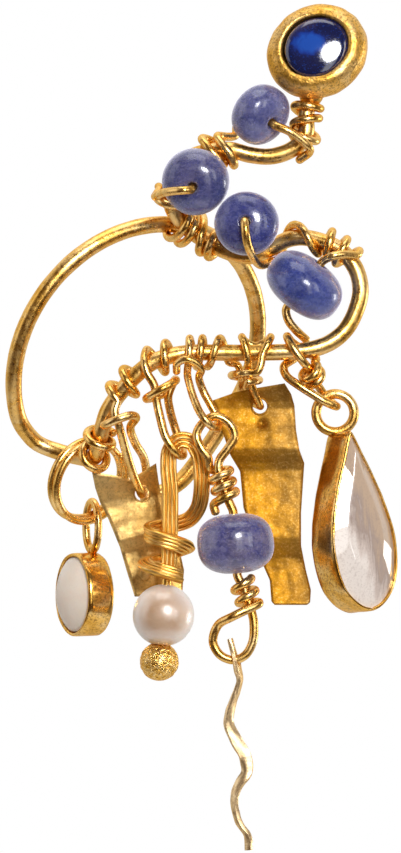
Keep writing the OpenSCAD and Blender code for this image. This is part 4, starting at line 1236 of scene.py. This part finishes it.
def cabochon_cup():
    r, h = cabochon_cup_r, cabochon_cup_h
    profile = [
        (0.02, -h), (1.2, -h), (r - 0.25, -h), (r - 0.08, -h + 0.04), (r - 0.01, -h + 0.14), (r, -h + 0.4),
        (r, 0.0), (r, h - 0.3), (r - 0.02, h - 0.1), (r - 0.08, h - 0.01), (r - 0.15, h),
        (r - 0.21, h - 0.04), (r - 0.245, h - 0.14), (r - 0.25, 0.2), (r - 0.25, -0.3), (0.02, -0.34)]
    cup = lathe(
        "cabochon_cup", profile, CABOCHON_PLACE, CABOCHON_FRONT, 112, uneven=0.04, grain=0.9, sharp=60)
    dress(cup, SETTING_GOLD, "hoop_body", "gold", "cabochon_setting")
    bail = []
    for degrees in range(-80, 261, 5):
        a = math.radians(degrees)
        p = BAIL_PLACE + bail_half_w * math.cos(a) * BAIL_ACROSS
        bail.append(p + bail_half_h * math.sin(a) * V(0, 0, 1))
    loop = wire("cabochon_bail", bail, bail_wire_r, sides=16)
    dress(loop, THIN_GOLD, "hoop_body", "gold", "cabochon_setting")


def cabochon():
    """A round stone with straight sides under a part of a ball."""
    r, dome, girdle = cabochon_r, cabochon_dome, cabochon_cup_h - 0.1
    ball = (r * r + dome * dome) / (2 * dome)
    steps = 18
    profile = [(0.02, -0.32), (r, -0.32), (r, 0.3), (r, girdle)]
    for k in range(1, steps + 1):
        a = math.asin(r / ball) * (1 - k / steps)
        profile.append((max(0.02, ball * math.sin(a)), girdle + dome - ball + ball * math.cos(a)))
    stone = lathe(
        "cabochon_stone", profile, CABOCHON_PLACE, CABOCHON_FRONT, 96, uneven=0.02, grain=0.8, sharp=50)
    dress(stone, WHITE_STONE, "hoop_body", "white_stone", "cabochon")


# Camera, floor and light

PHOTO_WIDTH, PHOTO_HEIGHT = 401, 853
PIXELS_PER_MM = 16.5
ORIGIN_U, ORIGIN_V = 156, 224
camera_distance = 900
sharp_plane_y = -2.5
sensor = 36
floor_r = 300
FLOOR_PLACE = V(0, 60, -300)
LIGHT_AIM = V(2.7, 0, -12)
#   name, shape, place, width, height, power
LIGHTS = [
    ("front_key", "DISK", (115, -430, 145), 160, 160, 1.5),
    ("right_box", "RECTANGLE", (330, -325, 80), 110, 280, 0.3),
    ("low_box", "RECTANGLE", (130, -430, -40), 110, 260, 0.16),
    ("rim_box", "RECTANGLE", (419, 170, -65), 100, 140, 0.34),
    ("left_box", "RECTANGLE", (-400, -120, 100), 240, 380, 0.25),
    ("top_box", "SQUARE", (0, -60, 420), 320, 320, 0.7)]
#   place from the viewer's side to the far side, colour
DEEP_LIGHT = [
    (-1.0, (0.20, 0.115, 0.05)), (-0.75, (0.12, 0.065, 0.025)), (-0.4, (0.15, 0.09, 0.045)),
    (0.0, (0.52, 0.45, 0.38)), (0.35, (1.0, 0.98, 0.95)), (1.0, (1.25, 1.25, 1.25))]
#   place from below to above, colour
HIGH_LIGHT = [
    (-1.0, (0.7, 0.68, 0.65)), (-0.2, (0.75, 0.73, 0.7)), (0.25, (0.9, 0.9, 0.9)), (0.7, (1.2, 1.2, 1.2)),
    (1.0, (1.4, 1.4, 1.4))]


def camera():
    data = bpy.data.cameras.new("camera")
    data.sensor_width = sensor
    data.lens = sensor * camera_distance / (PHOTO_HEIGHT / PIXELS_PER_MM)
    data.clip_start, data.clip_end = 0.05, 5
    obj = link(bpy.data.objects.new("camera", data))
    x = (PHOTO_WIDTH / 2 - ORIGIN_U) / PIXELS_PER_MM
    z = (ORIGIN_V - PHOTO_HEIGHT / 2) / PIXELS_PER_MM
    obj.location = V(x, sharp_plane_y - camera_distance, z) * MM
    obj.rotation_euler = (math.pi / 2, 0, 0)
    bpy.context.scene.camera = obj


def floor():
    x, y, z = FLOOR_PLACE
    rim = [V(x + floor_r * math.cos(a), y + floor_r * math.sin(a), z) for a in angles_round(96)]
    disc = mesh_object("floor", rim, [tuple(range(len(rim)))])
    m = Material("pale_floor", Roughness=0.6)
    m.base(m.noise(0.02), [(0.3, 0.74), (0.7, 0.78)])
    disc.data.materials.append(m.finish())


def world():
    """A warm, dark room on the viewer's side and a bright one behind, which a camera sees as plain white."""
    made = bpy.data.worlds.new("studio")
    bpy.context.scene.world = made
    made.use_nodes = True
    w = Nodes(made.node_tree)

    def ramp_over(source, rows):
        part = w.add("ShaderNodeMapRange", {"From Min": -1, "Value": source}).outputs[0]
        return w.ramp(part, [((place + 1) / 2, colour) for place, colour in rows])

    way = w.split(w.spots.outputs["Generated"])
    colour = w.mix(1.0, ramp_over(way["Y"], DEEP_LIGHT), ramp_over(way["Z"], HIGH_LIGHT), kind="MULTIPLY")
    studio = w.add("ShaderNodeBackground", {"Color": colour, "Strength": 0.75})
    plain = w.add("ShaderNodeBackground", {"Color": (1, 1, 1, 1), "Strength": 1.0})
    seen = w.add("ShaderNodeLightPath").outputs["Is Camera Ray"]
    choice = w.add("ShaderNodeMixShader", {0: seen, 1: studio.outputs[0], 2: plain.outputs[0]})
    w.add("ShaderNodeOutputWorld", {0: choice.outputs[0]})


def lights():
    for name, shape, place, width, height, power in LIGHTS:
        data = bpy.data.lights.new(name, "AREA")
        data.shape = shape
        data.size = width * MM
        if shape == "RECTANGLE":
            data.size_y = height * MM
        data.energy = power
        obj = link(bpy.data.objects.new(name, data))
        obj.location = Vector(place) * MM
        obj.rotation_euler = (LIGHT_AIM - Vector(place)).to_track_quat("-Z", "Y").to_euler()


camera()
main_wire()
top_cup()
top_stone()
thin_wires()
beads()
plates()
pearl_drop()
sapphire_link()
ribbon()
crystal_cup()
crystal_ring()
crystal_stone()
double_ring()
cabochon_cup()
cabochon()
floor()
world()
lights()
bpy.context.scene.view_settings.view_transform = "Standard"
